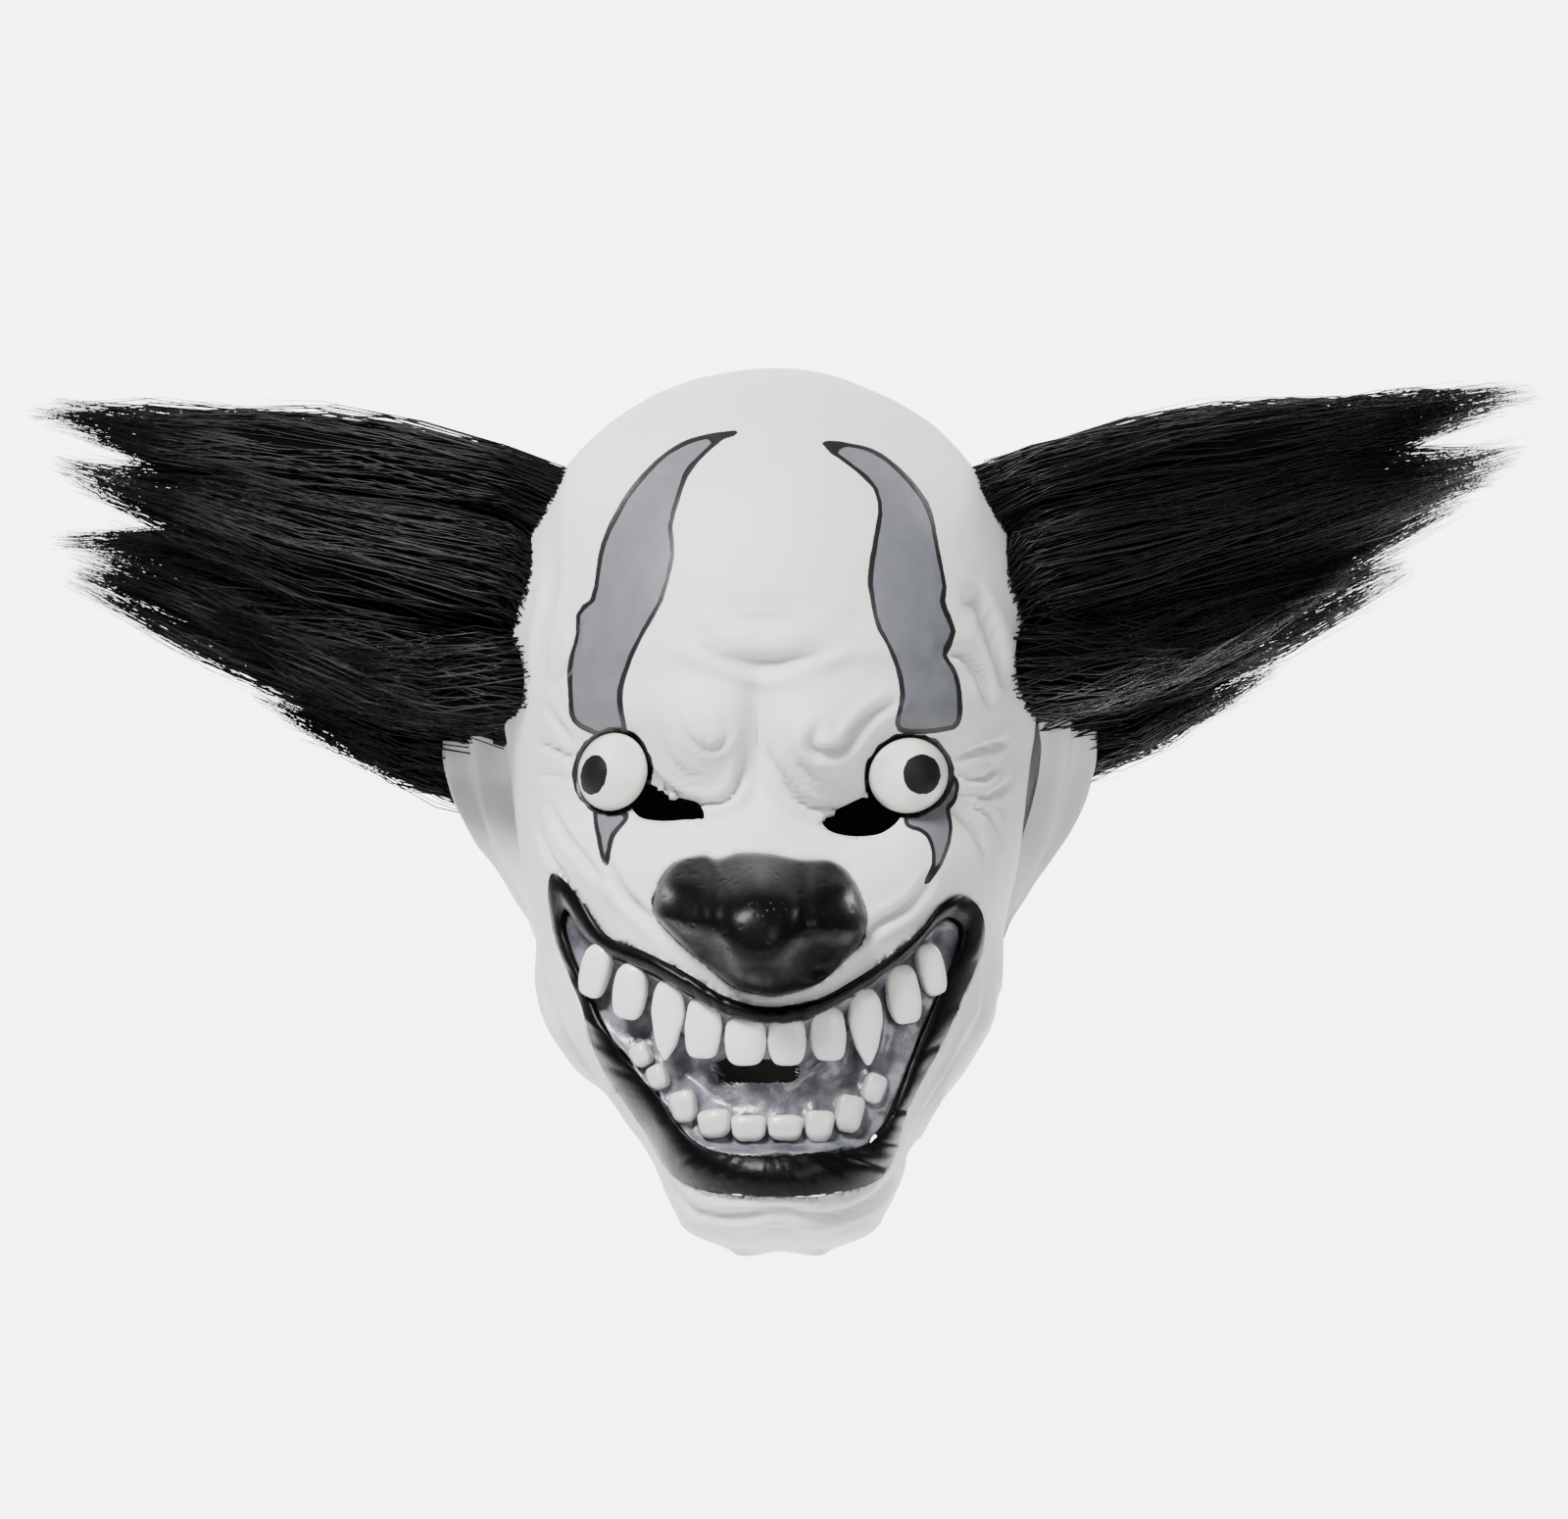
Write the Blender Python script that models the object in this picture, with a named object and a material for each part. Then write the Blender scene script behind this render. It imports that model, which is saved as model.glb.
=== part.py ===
"""Clown mask: a hollow latex head with ears, seated eyes, nose, lips, gums and teeth, and two fur tufts.

Metres, +Z up. The face looks along -Y and the wearer's right is at -X. The origin is the point inside
the crown that rests on the wearer's head.
"""

from math import atan2, cos, pi, radians, sin

import bmesh
import bpy
import numpy as np
from mathutils import Matrix, Vector
from mathutils.bvhtree import BVHTree

# The latex head
HEAD_HEIGHT = 0.302
HEAD_HALF_WIDTH = 0.094
FRONT_DEPTH = 0.106
BACK_DEPTH = 0.104
DOME_HEIGHT = 0.100
WALL = 0.0022
FOLD_RISE = 0.010
CLEARANCE = 0.0003

# Eyes
EYE_WIDTH = 0.0262
EYE_HEIGHT = 0.0268
EYE_BULGE = 0.0140
PEEPHOLE_WIDTH = 0.0235
PEEPHOLE_HEIGHT = 0.0110

# Nose
NOSE_WIDTH = 0.0733
NOSE_HEIGHT = 0.0478
NOSE_BULGE = 0.033

# Mouth
MOUTH_WIDTH = 0.1482
MOUTH_HEIGHT = 0.1076
LIP_RISE = 0.0042
LIP_BACK = 0.0030
GUM_RIM = 0.0030
GUM_DEPTH = 0.0150
SLOT_WIDTH = 0.0287
SLOT_HEIGHT = 0.0080
TOOTH_DEPTH = 0.0062

# Ears
EAR_HEIGHT = 0.086
EAR_WIDTH = 0.036
EAR_THICKNESS = 0.0036
EAR_RELIEF = 0.0040

# Fur tufts
TUFT_REACH = 0.160
TUFT_HEIGHT = 0.112
TUFT_DEPTH = 0.100
LOCK_RADIUS = 0.023

# How finely each surface is divided
FRONT_COLUMNS = 30
BACK_COLUMNS = 14
DOME_RINGS = 6
FACE_RINGS = 18
OUTLINE_STEPS = 36
EYE_STEPS = 16
NOSE_STEPS = 20

# Sections of the head. Drop is a share of HEAD_HEIGHT, width and shift are shares of HEAD_HALF_WIDTH,
# and axis (where the section is widest) and front are shares of FRONT_DEPTH, back of BACK_DEPTH.
SECTION_COLUMNS = ("drop", "width", "shift", "axis", "front", "back", "corner")
SECTIONS = (
    (0.000, 1.00, 0.00, 0.00, 1.00, 1.00, 2.00),
    (0.200, 1.00, 0.00, 0.00, 1.00, 1.00, 2.05),
    (0.364, 1.00, 0.00, 0.00, 1.00, 1.00, 2.15),
    (0.464, 0.96, 0.00, 0.00, 0.97, 0.96, 2.25),
    (0.563, 0.92, 0.00, -0.03, 1.00, 0.90, 2.30),
    (0.646, 0.865, 0.00, -0.06, 1.01, 0.80, 2.30),
    (0.712, 0.850, 0.00, -0.11, 0.98, 0.72, 2.30),
    (0.755, 0.815, 0.00, -0.19, 0.92, 0.73, 2.30),
    (0.795, 0.725, 0.01, -0.29, 0.84, 0.79, 2.30),
    (0.838, 0.610, 0.02, -0.40, 0.75, 0.87, 2.30),
    (0.877, 0.510, 0.03, -0.49, 0.67, 0.90, 2.30),
    (0.921, 0.440, 0.04, -0.55, 0.61, 0.70, 2.35),
    (0.960, 0.385, 0.04, -0.60, 0.54, 0.40, 2.40),
    (0.984, 0.325, 0.04, -0.66, 0.43, 0.20, 2.40),
    (1.000, 0.190, 0.04, -0.72, 0.24, 0.08, 2.30),
)

# The open lower edge: turn from the front as a share of half a turn, drop as a share of HEAD_HEIGHT
RIM_COLUMNS = ("turn", "drop")
RIM = (
    (0.00, 1.000),
    (0.36, 1.000),
    (0.48, 0.985),
    (0.56, 0.950),
    (0.64, 0.915),
    (0.74, 0.888),
    (0.86, 0.873),
    (1.00, 0.868),
)

# Folds of the face. Across and reach are shares of HEAD_HALF_WIDTH, drop and tall are shares of
# HEAD_HEIGHT, lean is in degrees, and rise is a share of FOLD_RISE, negative for a dent.
FOLD_COLUMNS = ("across", "drop", "reach", "tall", "lean", "rise")
FOLDS = {
    "brow_knot_right": (-0.265, 0.418, 0.20, 0.050, 0, 1.00),
    "brow_knot_left": (0.180, 0.430, 0.20, 0.050, 0, 1.00),
    "frown_furrow": (-0.045, 0.425, 0.05, 0.060, 0, -0.75),
    "forehead_ridge": (-0.02, 0.330, 0.55, 0.018, 0, 0.22),
    "brow_ridge_right": (-0.58, 0.395, 0.22, 0.028, 0, 0.35),
    "brow_ridge_left": (0.52, 0.395, 0.22, 0.028, 0, 0.35),
    "socket_right": (-0.560, 0.470, 0.22, 0.058, 0, -0.75),
    "socket_left": (0.500, 0.472, 0.22, 0.058, 0, -0.75),
    "peep_hollow_right": (-0.345, 0.510, 0.18, 0.036, 0, -0.85),
    "peep_hollow_left": (0.300, 0.515, 0.18, 0.036, 0, -0.85),
    "cheek_right": (-0.620, 0.570, 0.24, 0.048, 20, 0.75),
    "cheek_left": (0.590, 0.575, 0.24, 0.048, -20, 0.75),
    "muzzle": (-0.03, 0.645, 0.55, 0.100, 0, 1.00),
    "smile_fold_right": (-0.82, 0.620, 0.07, 0.080, 0, 0.50),
    "smile_fold_left": (0.80, 0.620, 0.07, 0.080, 0, 0.50),
    "lower_jaw": (0.02, 0.850, 0.42, 0.080, 0, 0.60),
    "chin": (0.03, 0.955, 0.32, 0.040, 0, 0.50),
    "chin_cleft": (0.03, 0.985, 0.06, 0.035, 0, -0.30),
}

# Eyes: the middle, then each one's share of EYE_WIDTH and EYE_HEIGHT, and its lean in degrees
EYE_COLUMNS = ("across", "drop", "width", "height", "lean")
EYES = {
    "right": (-0.565, 0.4650, 0.93, 1.02, 20),
    "left": (0.502, 0.4690, 1.07, 0.97, -15),
}

# Peepholes beside the eyes. The outline is in shares of PEEPHOLE_WIDTH and PEEPHOLE_HEIGHT from its
# middle, with its first row at the end nearest the eye; the left one is its mirror image.
PEEPHOLE_COLUMNS = ("across", "drop")
PEEPHOLES = {"right": (-0.350, 0.507), "left": (0.320, 0.519)}
PEEPHOLE_OUTLINE = (
    (-0.50, -0.22),
    (-0.30, 0.42),
    (0.05, 0.28),
    (0.42, -0.02),
    (0.50, -0.30),
    (0.25, -0.46),
    (-0.20, -0.50),
)

# The nose: its middle, its outline in shares of NOSE_WIDTH and NOSE_HEIGHT, and its lobes
NOSE_PLACE = (-0.0365, 0.634)
NOSE_OUTLINE = (
    (-0.495, 0.20),
    (-0.385, 0.45),
    (-0.25, 0.47),
    (-0.10, 0.50),
    (0.09, 0.46),
    (0.34, 0.44),
    (0.46, 0.25),
    (0.50, 0.05),
    (0.42, -0.22),
    (0.26, -0.44),
    (0.05, -0.50),
    (-0.14, -0.40),
    (-0.33, -0.18),
    (-0.45, 0.00),
)
# Each lobe: middle and reach in shares of NOSE_WIDTH and NOSE_HEIGHT, rise as a share of NOSE_BULGE
LOBE_COLUMNS = ("across", "up", "reach", "tall", "rise")
NOSE_LOBES = {
    "ball": (-0.02, -0.04, 0.27, 0.46, 0.60),
    "wing_right": (-0.33, 0.12, 0.18, 0.32, 0.30),
    "wing_left": (0.34, 0.10, 0.18, 0.32, 0.30),
    "nostril_right": (-0.27, -0.24, 0.09, 0.14, -0.24),
    "nostril_left": (0.28, -0.28, 0.09, 0.14, -0.24),
    "bridge": (0.00, 0.00, 0.56, 0.62, 0.34),
}

# The lips, in shares of MOUTH_WIDTH and MOUTH_HEIGHT from the middle of the mouth, clockwise as seen
# from the front and from the mouth's right corner
MOUTH_PLACE = (-0.0120, 0.755)
LIP_COLUMNS = ("outer_x", "outer_z", "inner_x", "inner_z")
LIPS = (
    (-0.485, 0.495, -0.455, 0.375),
    (-0.430, 0.425, -0.420, 0.310),
    (-0.365, 0.305, -0.370, 0.250),
    (-0.275, 0.255, -0.275, 0.195),
    (-0.180, 0.190, -0.180, 0.125),
    (-0.095, 0.120, -0.095, 0.065),
    (0.000, 0.085, 0.005, 0.030),
    (0.110, 0.105, 0.110, 0.055),
    (0.215, 0.180, 0.210, 0.125),
    (0.295, 0.255, 0.285, 0.200),
    (0.355, 0.325, 0.345, 0.265),
    (0.400, 0.400, 0.395, 0.335),
    (0.450, 0.425, 0.425, 0.350),
    (0.495, 0.375, 0.448, 0.315),
    (0.500, 0.260, 0.435, 0.235),
    (0.450, 0.095, 0.395, 0.120),
    (0.393, -0.065, 0.345, -0.035),
    (0.320, -0.250, 0.295, -0.215),
    (0.300, -0.365, 0.262, -0.300),
    (0.255, -0.460, 0.212, -0.345),
    (0.130, -0.500, 0.120, -0.360),
    (0.000, -0.500, 0.005, -0.368),
    (-0.140, -0.490, -0.105, -0.360),
    (-0.225, -0.430, -0.180, -0.305),
    (-0.280, -0.305, -0.235, -0.200),
    (-0.335, -0.200, -0.295, -0.110),
    (-0.395, -0.070, -0.365, 0.010),
    (-0.420, 0.060, -0.400, 0.110),
    (-0.455, 0.180, -0.432, 0.200),
    (-0.490, 0.305, -0.458, 0.285),
    (-0.502, 0.430, -0.468, 0.345),
)
# The middle that every part of the mouth's outline can be seen from, and the middle of the slot
MOUTH_HUB = (0.0, -0.28)
SLOT_PLACE = (-0.018, -0.118)

# Teeth in shares of MOUTH_WIDTH and MOUTH_HEIGHT from the middle of the mouth: middle, width, the gum
# end and the biting end. Lean is in degrees, and point is the width left at the biting end.
TOOTH_COLUMNS = ("across", "width", "root", "bite", "lean", "point")
UPPER_TEETH = (
    (-0.372, 0.050, 0.215, 0.105, 16, 0.80),
    (-0.300, 0.066, 0.165, 0.040, 8, 0.82),
    (-0.222, 0.074, 0.105, -0.076, 4, 0.12),
    (-0.141, 0.080, 0.045, -0.074, 0, 0.85),
    (-0.048, 0.088, 0.012, -0.092, 0, 0.90),
    (0.049, 0.082, 0.010, -0.092, 0, 0.90),
    (0.142, 0.078, 0.030, -0.080, 0, 0.85),
    (0.227, 0.074, 0.088, -0.096, -4, 0.12),
    (0.304, 0.062, 0.155, 0.020, -8, 0.82),
    (0.365, 0.046, 0.225, 0.110, -16, 0.80),
)
LOWER_TEETH = (
    (-0.274, 0.036, -0.086, -0.030, -20, 0.75),
    (-0.230, 0.038, -0.156, -0.108, -14, 0.80),
    (-0.180, 0.050, -0.232, -0.160, -8, 0.85),
    (-0.114, 0.068, -0.310, -0.240, -3, 0.88),
    (-0.038, 0.073, -0.325, -0.254, 0, 0.88),
    (0.042, 0.073, -0.325, -0.254, 0, 0.88),
    (0.118, 0.060, -0.320, -0.240, 3, 0.85),
    (0.184, 0.056, -0.285, -0.190, 8, 0.85),
    (0.242, 0.046, -0.205, -0.135, 14, 0.80),
)

# Rows down the ear: drop as a share of EAR_HEIGHT, root and width as shares of EAR_WIDTH, and how far
# the row stands out from the side of the head, in degrees
EAR_PLACE = (0.875, 0.02, 0.372)
EAR_COLUMNS = ("drop", "root", "width", "open")
EAR_ROWS = (
    (0.00, 0.30, 0.45, 30),
    (0.06, 0.10, 0.84, 38),
    (0.22, 0.02, 1.02, 44),
    (0.42, 0.00, 1.00, 42),
    (0.60, 0.02, 0.82, 36),
    (0.74, 0.06, 0.58, 28),
    (0.88, 0.06, 0.48, 20),
    (1.00, 0.12, 0.28, 14),
)
# Across the ear: share of its width, and the height there as a share of EAR_RELIEF
EAR_PROFILE = ((0.00, 0.0), (0.18, -0.9), (0.38, -0.8), (0.55, 0.7), (0.75, -0.1), (0.90, 1.0), (1.00, 0.6))

# Locks of each tuft. Root back and drop and tip back and drop are shares of TUFT_DEPTH and
# TUFT_HEIGHT from the tuft's middle, reach is a share of TUFT_REACH and thick of LOCK_RADIUS.
TUFT_PLACE = (0.08, 0.300)
LOCK_COLUMNS = ("root_back", "root_drop", "reach", "tip_back", "tip_drop", "thick", "sag")
LOCKS = {
    "right": {
        "top_front": (-0.16, -0.36, 1.00, 0.00, -0.66, 0.80, -0.02),
        "top_back": (0.20, -0.32, 0.80, 0.16, -0.56, 0.90, -0.02),
        "middle_front": (-0.24, -0.10, 0.96, 0.00, -0.50, 1.05, 0.02),
        "middle_back": (0.24, 0.00, 0.97, 0.16, -0.27, 1.15, 0.04),
        "flap": (-0.36, 0.16, 0.40, -0.22, 0.10, 0.90, 0.03),
        "low_front": (-0.20, 0.18, 0.66, 0.02, -0.08, 0.95, 0.06),
        "low_back": (0.26, 0.26, 0.93, 0.18, -0.17, 1.00, 0.05),
        "nape": (0.32, 0.46, 0.46, 0.26, 0.26, 0.78, 0.04),
    },
    "left": {
        "top_front": (-0.16, -0.36, 1.06, 0.00, -0.72, 0.80, -0.02),
        "top_back": (0.20, -0.32, 0.80, 0.16, -0.62, 0.90, -0.02),
        "middle_front": (-0.24, -0.10, 1.04, 0.00, -0.54, 1.05, 0.00),
        "middle_back": (0.24, 0.00, 0.98, 0.16, -0.46, 1.15, 0.06),
        "flap": (-0.36, 0.10, 0.40, -0.22, 0.02, 0.90, 0.03),
        "low_front": (-0.20, 0.12, 0.72, 0.02, -0.22, 0.95, 0.06),
        "low_back": (0.26, 0.20, 0.80, 0.18, -0.20, 1.00, 0.05),
        "nape": (0.32, 0.40, 0.42, 0.26, 0.18, 0.78, 0.04),
    },
}

COLOURS = {
    "latex_white": ((0.84, 0.83, 0.81), 0.50),
    "eye_gloss": ((0.86, 0.85, 0.80), 0.12),
    "black_gloss": ((0.012, 0.012, 0.013), 0.25),
    "gum_grey": ((0.20, 0.21, 0.25), 0.30),
    "tooth_ivory": ((0.80, 0.79, 0.73), 0.30),
    "fur_black": ((0.006, 0.006, 0.007), 0.45),
}


def between(table, columns, key, wanted, at):
    """One column of a table, read smoothly at a value of its key column."""
    rows = np.array(table, dtype=float)
    keys = rows[:, columns.index(key)]
    values = rows[:, columns.index(wanted)]
    at = np.clip(at, keys[0], keys[-1])
    slopes = np.gradient(values, keys)
    row = np.clip(np.searchsorted(keys, at) - 1, 0, len(keys) - 2)
    step = keys[row + 1] - keys[row]
    share = (at - keys[row]) / step
    near = (1 + 2 * share) * (1 - share) ** 2 * values[row] + share * (1 - share) ** 2 * step * slopes[row]
    far = share**2 * (3 - 2 * share) * values[row + 1] - share**2 * (1 - share) * step * slopes[row + 1]
    return near + far


def section(drop):
    """Half width, sideways shift, axis, front depth, back depth and corner of the head at a drop."""
    share = drop / HEAD_HEIGHT
    read = {name: between(SECTIONS, SECTION_COLUMNS, "drop", name, share) for name in SECTION_COLUMNS[1:]}
    rise = np.clip(1 - drop / DOME_HEIGHT, 0, 1)
    dome = np.sqrt(np.maximum(1 - rise**2, 0))
    return (
        read["width"] * HEAD_HALF_WIDTH * dome,
        read["shift"] * HEAD_HALF_WIDTH,
        read["axis"] * FRONT_DEPTH,
        read["front"] * FRONT_DEPTH * dome,
        read["back"] * BACK_DEPTH * dome,
        read["corner"],
    )


def folds(x, drop):
    """How far the folds lift the face at a place seen from the front."""
    total = np.zeros_like(np.asarray(x, dtype=float) + drop)
    for across, fold_drop, reach, tall, lean, rise in FOLDS.values():
        dx = x - across * HEAD_HALF_WIDTH
        dz = fold_drop * HEAD_HEIGHT - drop
        turn = radians(lean)
        along = (dx * cos(turn) + dz * sin(turn)) / (reach * HEAD_HALF_WIDTH)
        upright = (dz * cos(turn) - dx * sin(turn)) / (tall * HEAD_HEIGHT)
        total += rise * FOLD_RISE * np.exp(-(along**2) - upright**2)
    return total


def face_y(x, z):
    """The front of the head at a place seen from the front, as a y coordinate."""
    drop = WALL - z
    width, shift, axis, front, back, corner = section(drop)
    share = np.clip(np.abs(x - shift) / np.maximum(width, 1e-6), 0, 0.995)
    bow = (1 - share**corner) ** (1 / corner)
    return axis - front * bow - folds(x, drop) * bow**0.5


def head_point(angle, drop):
    """The outer face of the head at an angle from the front and a drop below the crown."""
    width, shift, axis, front, back, corner = section(drop)
    power = 2 / corner
    x = shift + width * np.sign(np.sin(angle)) * np.abs(np.sin(angle)) ** power
    bow = np.abs(np.cos(angle)) ** power
    ahead = np.cos(angle) > 0
    y = np.where(ahead, axis - front * bow - folds(x, drop) * bow**0.5, axis + back * bow)
    return Vector((float(x), float(y), float(WALL - drop)))


def head_rings():
    """Rings of points on the head, from just below the crown to the open lower edge."""
    front = [pi * (step / FRONT_COLUMNS - 0.5) for step in range(FRONT_COLUMNS)]
    turns = [step / BACK_COLUMNS for step in range(BACK_COLUMNS)]
    back = [pi * (0.5 + turn - 0.09 * sin(2 * pi * turn)) for turn in turns]
    rings = []
    for ring in range(1, DOME_RINGS + FACE_RINGS + 1):
        points = []
        for angle in front + back:
            turn = abs(atan2(sin(angle), cos(angle))) / pi
            rim = HEAD_HEIGHT * float(between(RIM, RIM_COLUMNS, "turn", "drop", turn))
            if ring <= DOME_RINGS:
                drop = DOME_HEIGHT * (1 - cos(pi / 2 * ring / DOME_RINGS))
            else:
                share = 1 - (1 - (ring - DOME_RINGS) / FACE_RINGS) ** 1.15
                drop = DOME_HEIGHT + (rim - DOME_HEIGHT) * share
            points.append(head_point(angle, drop))
        rings.append(points)
    return rings


def new_object(name, bm, colour=None):
    """An object from a bmesh, with its normals pointing out and its own material."""
    bmesh.ops.recalc_face_normals(bm, faces=bm.faces)
    bmesh.ops.triangulate(bm, faces=bm.faces)
    mesh = bpy.data.meshes.new(name)
    bm.to_mesh(mesh)
    bm.free()
    thing = bpy.data.objects.new(name, mesh)
    bpy.context.scene.collection.objects.link(thing)
    if colour:
        finish(thing, colour)
    else:
        thing.hide_render = True
        thing.display_type = "WIRE"
    return thing


def finish(thing, colour):
    """Gives an object a Principled material of its own."""
    base, roughness = COLOURS[colour]
    material = bpy.data.materials.new(thing.name)
    material.use_nodes = True
    shader = material.node_tree.nodes["Principled BSDF"]
    shader.inputs["Base Color"].default_value = (*base, 1)
    shader.inputs["Roughness"].default_value = roughness
    shader.inputs["Metallic"].default_value = 0.0
    thing.data.materials.clear()
    thing.data.materials.append(material)


def skin(bm, rings):
    """Triangles between rings of vertices, each ring as long as the next, split along the shorter way."""
    for lower, upper in zip(rings, rings[1:]):
        count = len(lower)
        for step in range(count):
            a, b = lower[step], lower[(step + 1) % count]
            c, d = upper[(step + 1) % count], upper[step]
            if (a.co - c.co).length <= (b.co - d.co).length:
                bm.faces.new((a, b, c))
                bm.faces.new((a, c, d))
            else:
                bm.faces.new((a, b, d))
                bm.faces.new((b, c, d))


def cap(bm, ring, point):
    """A fan of triangles from a ring to a point."""
    middle = bm.verts.new(point)
    for step, vert in enumerate(ring):
        bm.faces.new((vert, ring[(step + 1) % len(ring)], middle))


def applied(thing):
    """Applies an object's modifiers to its mesh."""
    graph = bpy.context.evaluated_depsgraph_get()
    mesh = bpy.data.meshes.new_from_object(thing.evaluated_get(graph))
    thing.modifiers.clear()
    old = thing.data
    thing.data = mesh
    bpy.data.meshes.remove(old)


def combine(thing, tool, operation, solver="EXACT"):
    """Joins or cuts an object with another, which is used up."""
    modifier = thing.modifiers.new(operation.title(), "BOOLEAN")
    modifier.operation = operation
    modifier.object = tool
    modifier.solver = solver
    applied(thing)
    bpy.data.objects.remove(tool)


def head_surface():
    """The head's outer face as an open bmesh, from the crown to the lower edge."""
    bm = bmesh.new()
    rings = [[bm.verts.new(point) for point in ring] for ring in head_rings()]
    skin(bm, rings)
    cap(bm, rings[0], (0, 0, WALL))
    bmesh.ops.recalc_face_normals(bm, faces=bm.faces)
    if max(bm.faces, key=lambda face: face.calc_center_median().z).normal.z < 0:
        bmesh.ops.reverse_faces(bm, faces=bm.faces)
    return bm, rings[-1]


def head_plug(name, offset):
    """The head's outer face moved out by an offset and closed across the neck, as a cutter."""
    bm, rim = head_surface()
    bm.normal_update()
    for vert, normal in [(vert, vert.normal.copy()) for vert in bm.verts]:
        vert.co += normal * offset
    middle = sum((vert.co for vert in rim), Vector()) / len(rim)
    cap(bm, rim, middle)
    return new_object(name, bm)


def spline(points, steps):
    """A closed smooth curve through points, read at evenly spread steps."""
    points = [np.array(point, dtype=float) for point in points]
    count = len(points)
    found = []
    for step in range(steps):
        place = count * step / steps
        index = int(place)
        share = place - index
        before, start, end, after = (points[(index + shift) % count] for shift in (-1, 0, 1, 2))
        curve = 2 * start + (end - before) * share
        curve = curve + (2 * before - 5 * start + 4 * end - after) * share**2
        curve = curve + (3 * start - before - 3 * end + after) * share**3
        found.append(curve / 2)
    return found


def inset(outline, distance):
    """An outline of x and z moved inward by a distance."""
    ring = [Vector(point) for point in outline]
    count = len(ring)
    area = sum(a.x * b.y - b.x * a.y for a, b in zip(ring, ring[1:] + ring[:1]))
    moved = []
    for step, point in enumerate(ring):
        along = (ring[(step + 1) % count] - ring[step - 1]).normalized()
        inward = Vector((-along.y, along.x)) * (1 if area > 0 else -1)
        moved.append(point + inward * distance)
    return moved


def place_on_head(across, drop):
    """A place given as shares of the head's half width and height, as x and z."""
    return Vector((across * HEAD_HALF_WIDTH, WALL - drop * HEAD_HEIGHT))


def hole(name, outline, middle):
    """A cutter through the face along an outline of x and z."""
    bm = bmesh.new()
    rings = []
    for ahead in (-0.5 * FRONT_DEPTH, 4 * WALL):
        ring = [bm.verts.new((p.x, float(face_y(p.x, p.y)) + ahead, p.y)) for p in outline]
        rings.append(ring)
        cap(bm, ring, (middle.x, float(face_y(middle.x, middle.y)) + ahead, middle.y))
    skin(bm, rings)
    return new_object(name, bm)


def ellipse(middle, width, height, lean, steps):
    turn = radians(lean)
    points = []
    for step in range(steps):
        angle = 2 * pi * step / steps
        x = cos(angle) * width / 2
        z = sin(angle) * height / 2
        points.append(middle + Vector((x * cos(turn) + z * sin(turn), z * cos(turn) - x * sin(turn))))
    return points


def hollow_dome(name, outline, middle, front, rings, colour):
    """A hollow cap that fills an outline: front gives its y at a place and share of the way out."""
    bm = bmesh.new()
    span = min((point - middle).length for point in outline)
    narrow = 1 - WALL / span
    layers = []
    for scale, back in ((1.0, 0.0), (narrow, WALL)):
        layer = []
        for ring in range(1, rings + 1):
            share = sin(pi / 2 * ring / rings)
            points = []
            for point in outline:
                flat = middle + (point - middle) * share
                at = middle + (point - middle) * share * scale
                points.append(bm.verts.new((at.x, front(flat.x, flat.y, share) + back, at.y)))
            layer.append(points)
        cap(bm, layer[0], (middle.x, front(middle.x, middle.y, 0.0) + back, middle.y))
        skin(bm, layer)
        layers.append(layer)
    foot = [bm.verts.new((p.x, float(face_y(p.x, p.y)) + WALL, p.y)) for p in outline]
    skin(bm, [layers[0][-1], foot, layers[1][-1]])
    return new_object(name, bm, colour)


def ear(side):
    """One ear, a curved leaf whose root lies in the wall of the head."""
    start = place_on_head(EAR_PLACE[0] * side, EAR_PLACE[2])
    count = 2 * len(EAR_PROFILE)
    bm = bmesh.new()
    rings = []
    for drop, root, width, opening in EAR_ROWS:
        turn = radians(opening)
        out = Vector((side * sin(turn), cos(turn), 0))
        ahead = Vector((side * cos(turn), -sin(turn), 0))
        foot = Vector((start.x, EAR_PLACE[1] * BACK_DEPTH, start.y - drop * EAR_HEIGHT))
        half_width, shift, axis = (float(value) for value in section(WALL - foot.z)[:3])
        foot.x = side * (half_width - 2 * WALL) + shift
        foot.y += axis
        flat = sin(pi * min(max(drop, 0.08), 0.92)) ** 0.5
        outline = []
        for face, profile in ((0.5, EAR_PROFILE), (-0.5, EAR_PROFILE[::-1])):
            for share, height in profile:
                lift = height * EAR_RELIEF * flat + face * EAR_THICKNESS
                along = (root + share * width) * EAR_WIDTH
                outline.append(bm.verts.new(foot + out * along + ahead * lift))
        rings.append(outline)
    skin(bm, rings)
    for ring in (rings[0], rings[-1]):
        for step in range(len(EAR_PROFILE) - 1):
            bm.faces.new((ring[step], ring[step + 1], ring[count - 2 - step]))
            bm.faces.new((ring[step], ring[count - 2 - step], ring[count - 1 - step]))
    return new_object(f"ear_{side}", bm)


def ear_room(side):
    """The space that the fur leaves for an ear: its convex hull, grown by a clearance."""
    leaf = ear(side)
    bm = bmesh.new()
    for vert in leaf.data.vertices:
        for offset in ((1, 0, 0), (-1, 0, 0), (0, 1, 0), (0, -1, 0), (0, 0, 1), (0, 0, -1)):
            bm.verts.new(vert.co + 2 * CLEARANCE * Vector(offset))
    hull = bmesh.ops.convex_hull(bm, input=bm.verts)
    inside = {item for item in hull["geom_interior"] + hull["geom_unused"] if isinstance(item, bmesh.types.BMVert)}
    bmesh.ops.delete(bm, geom=list(inside), context="VERTS")
    bpy.data.objects.remove(leaf)
    return new_object("ear_room", bm)


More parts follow.
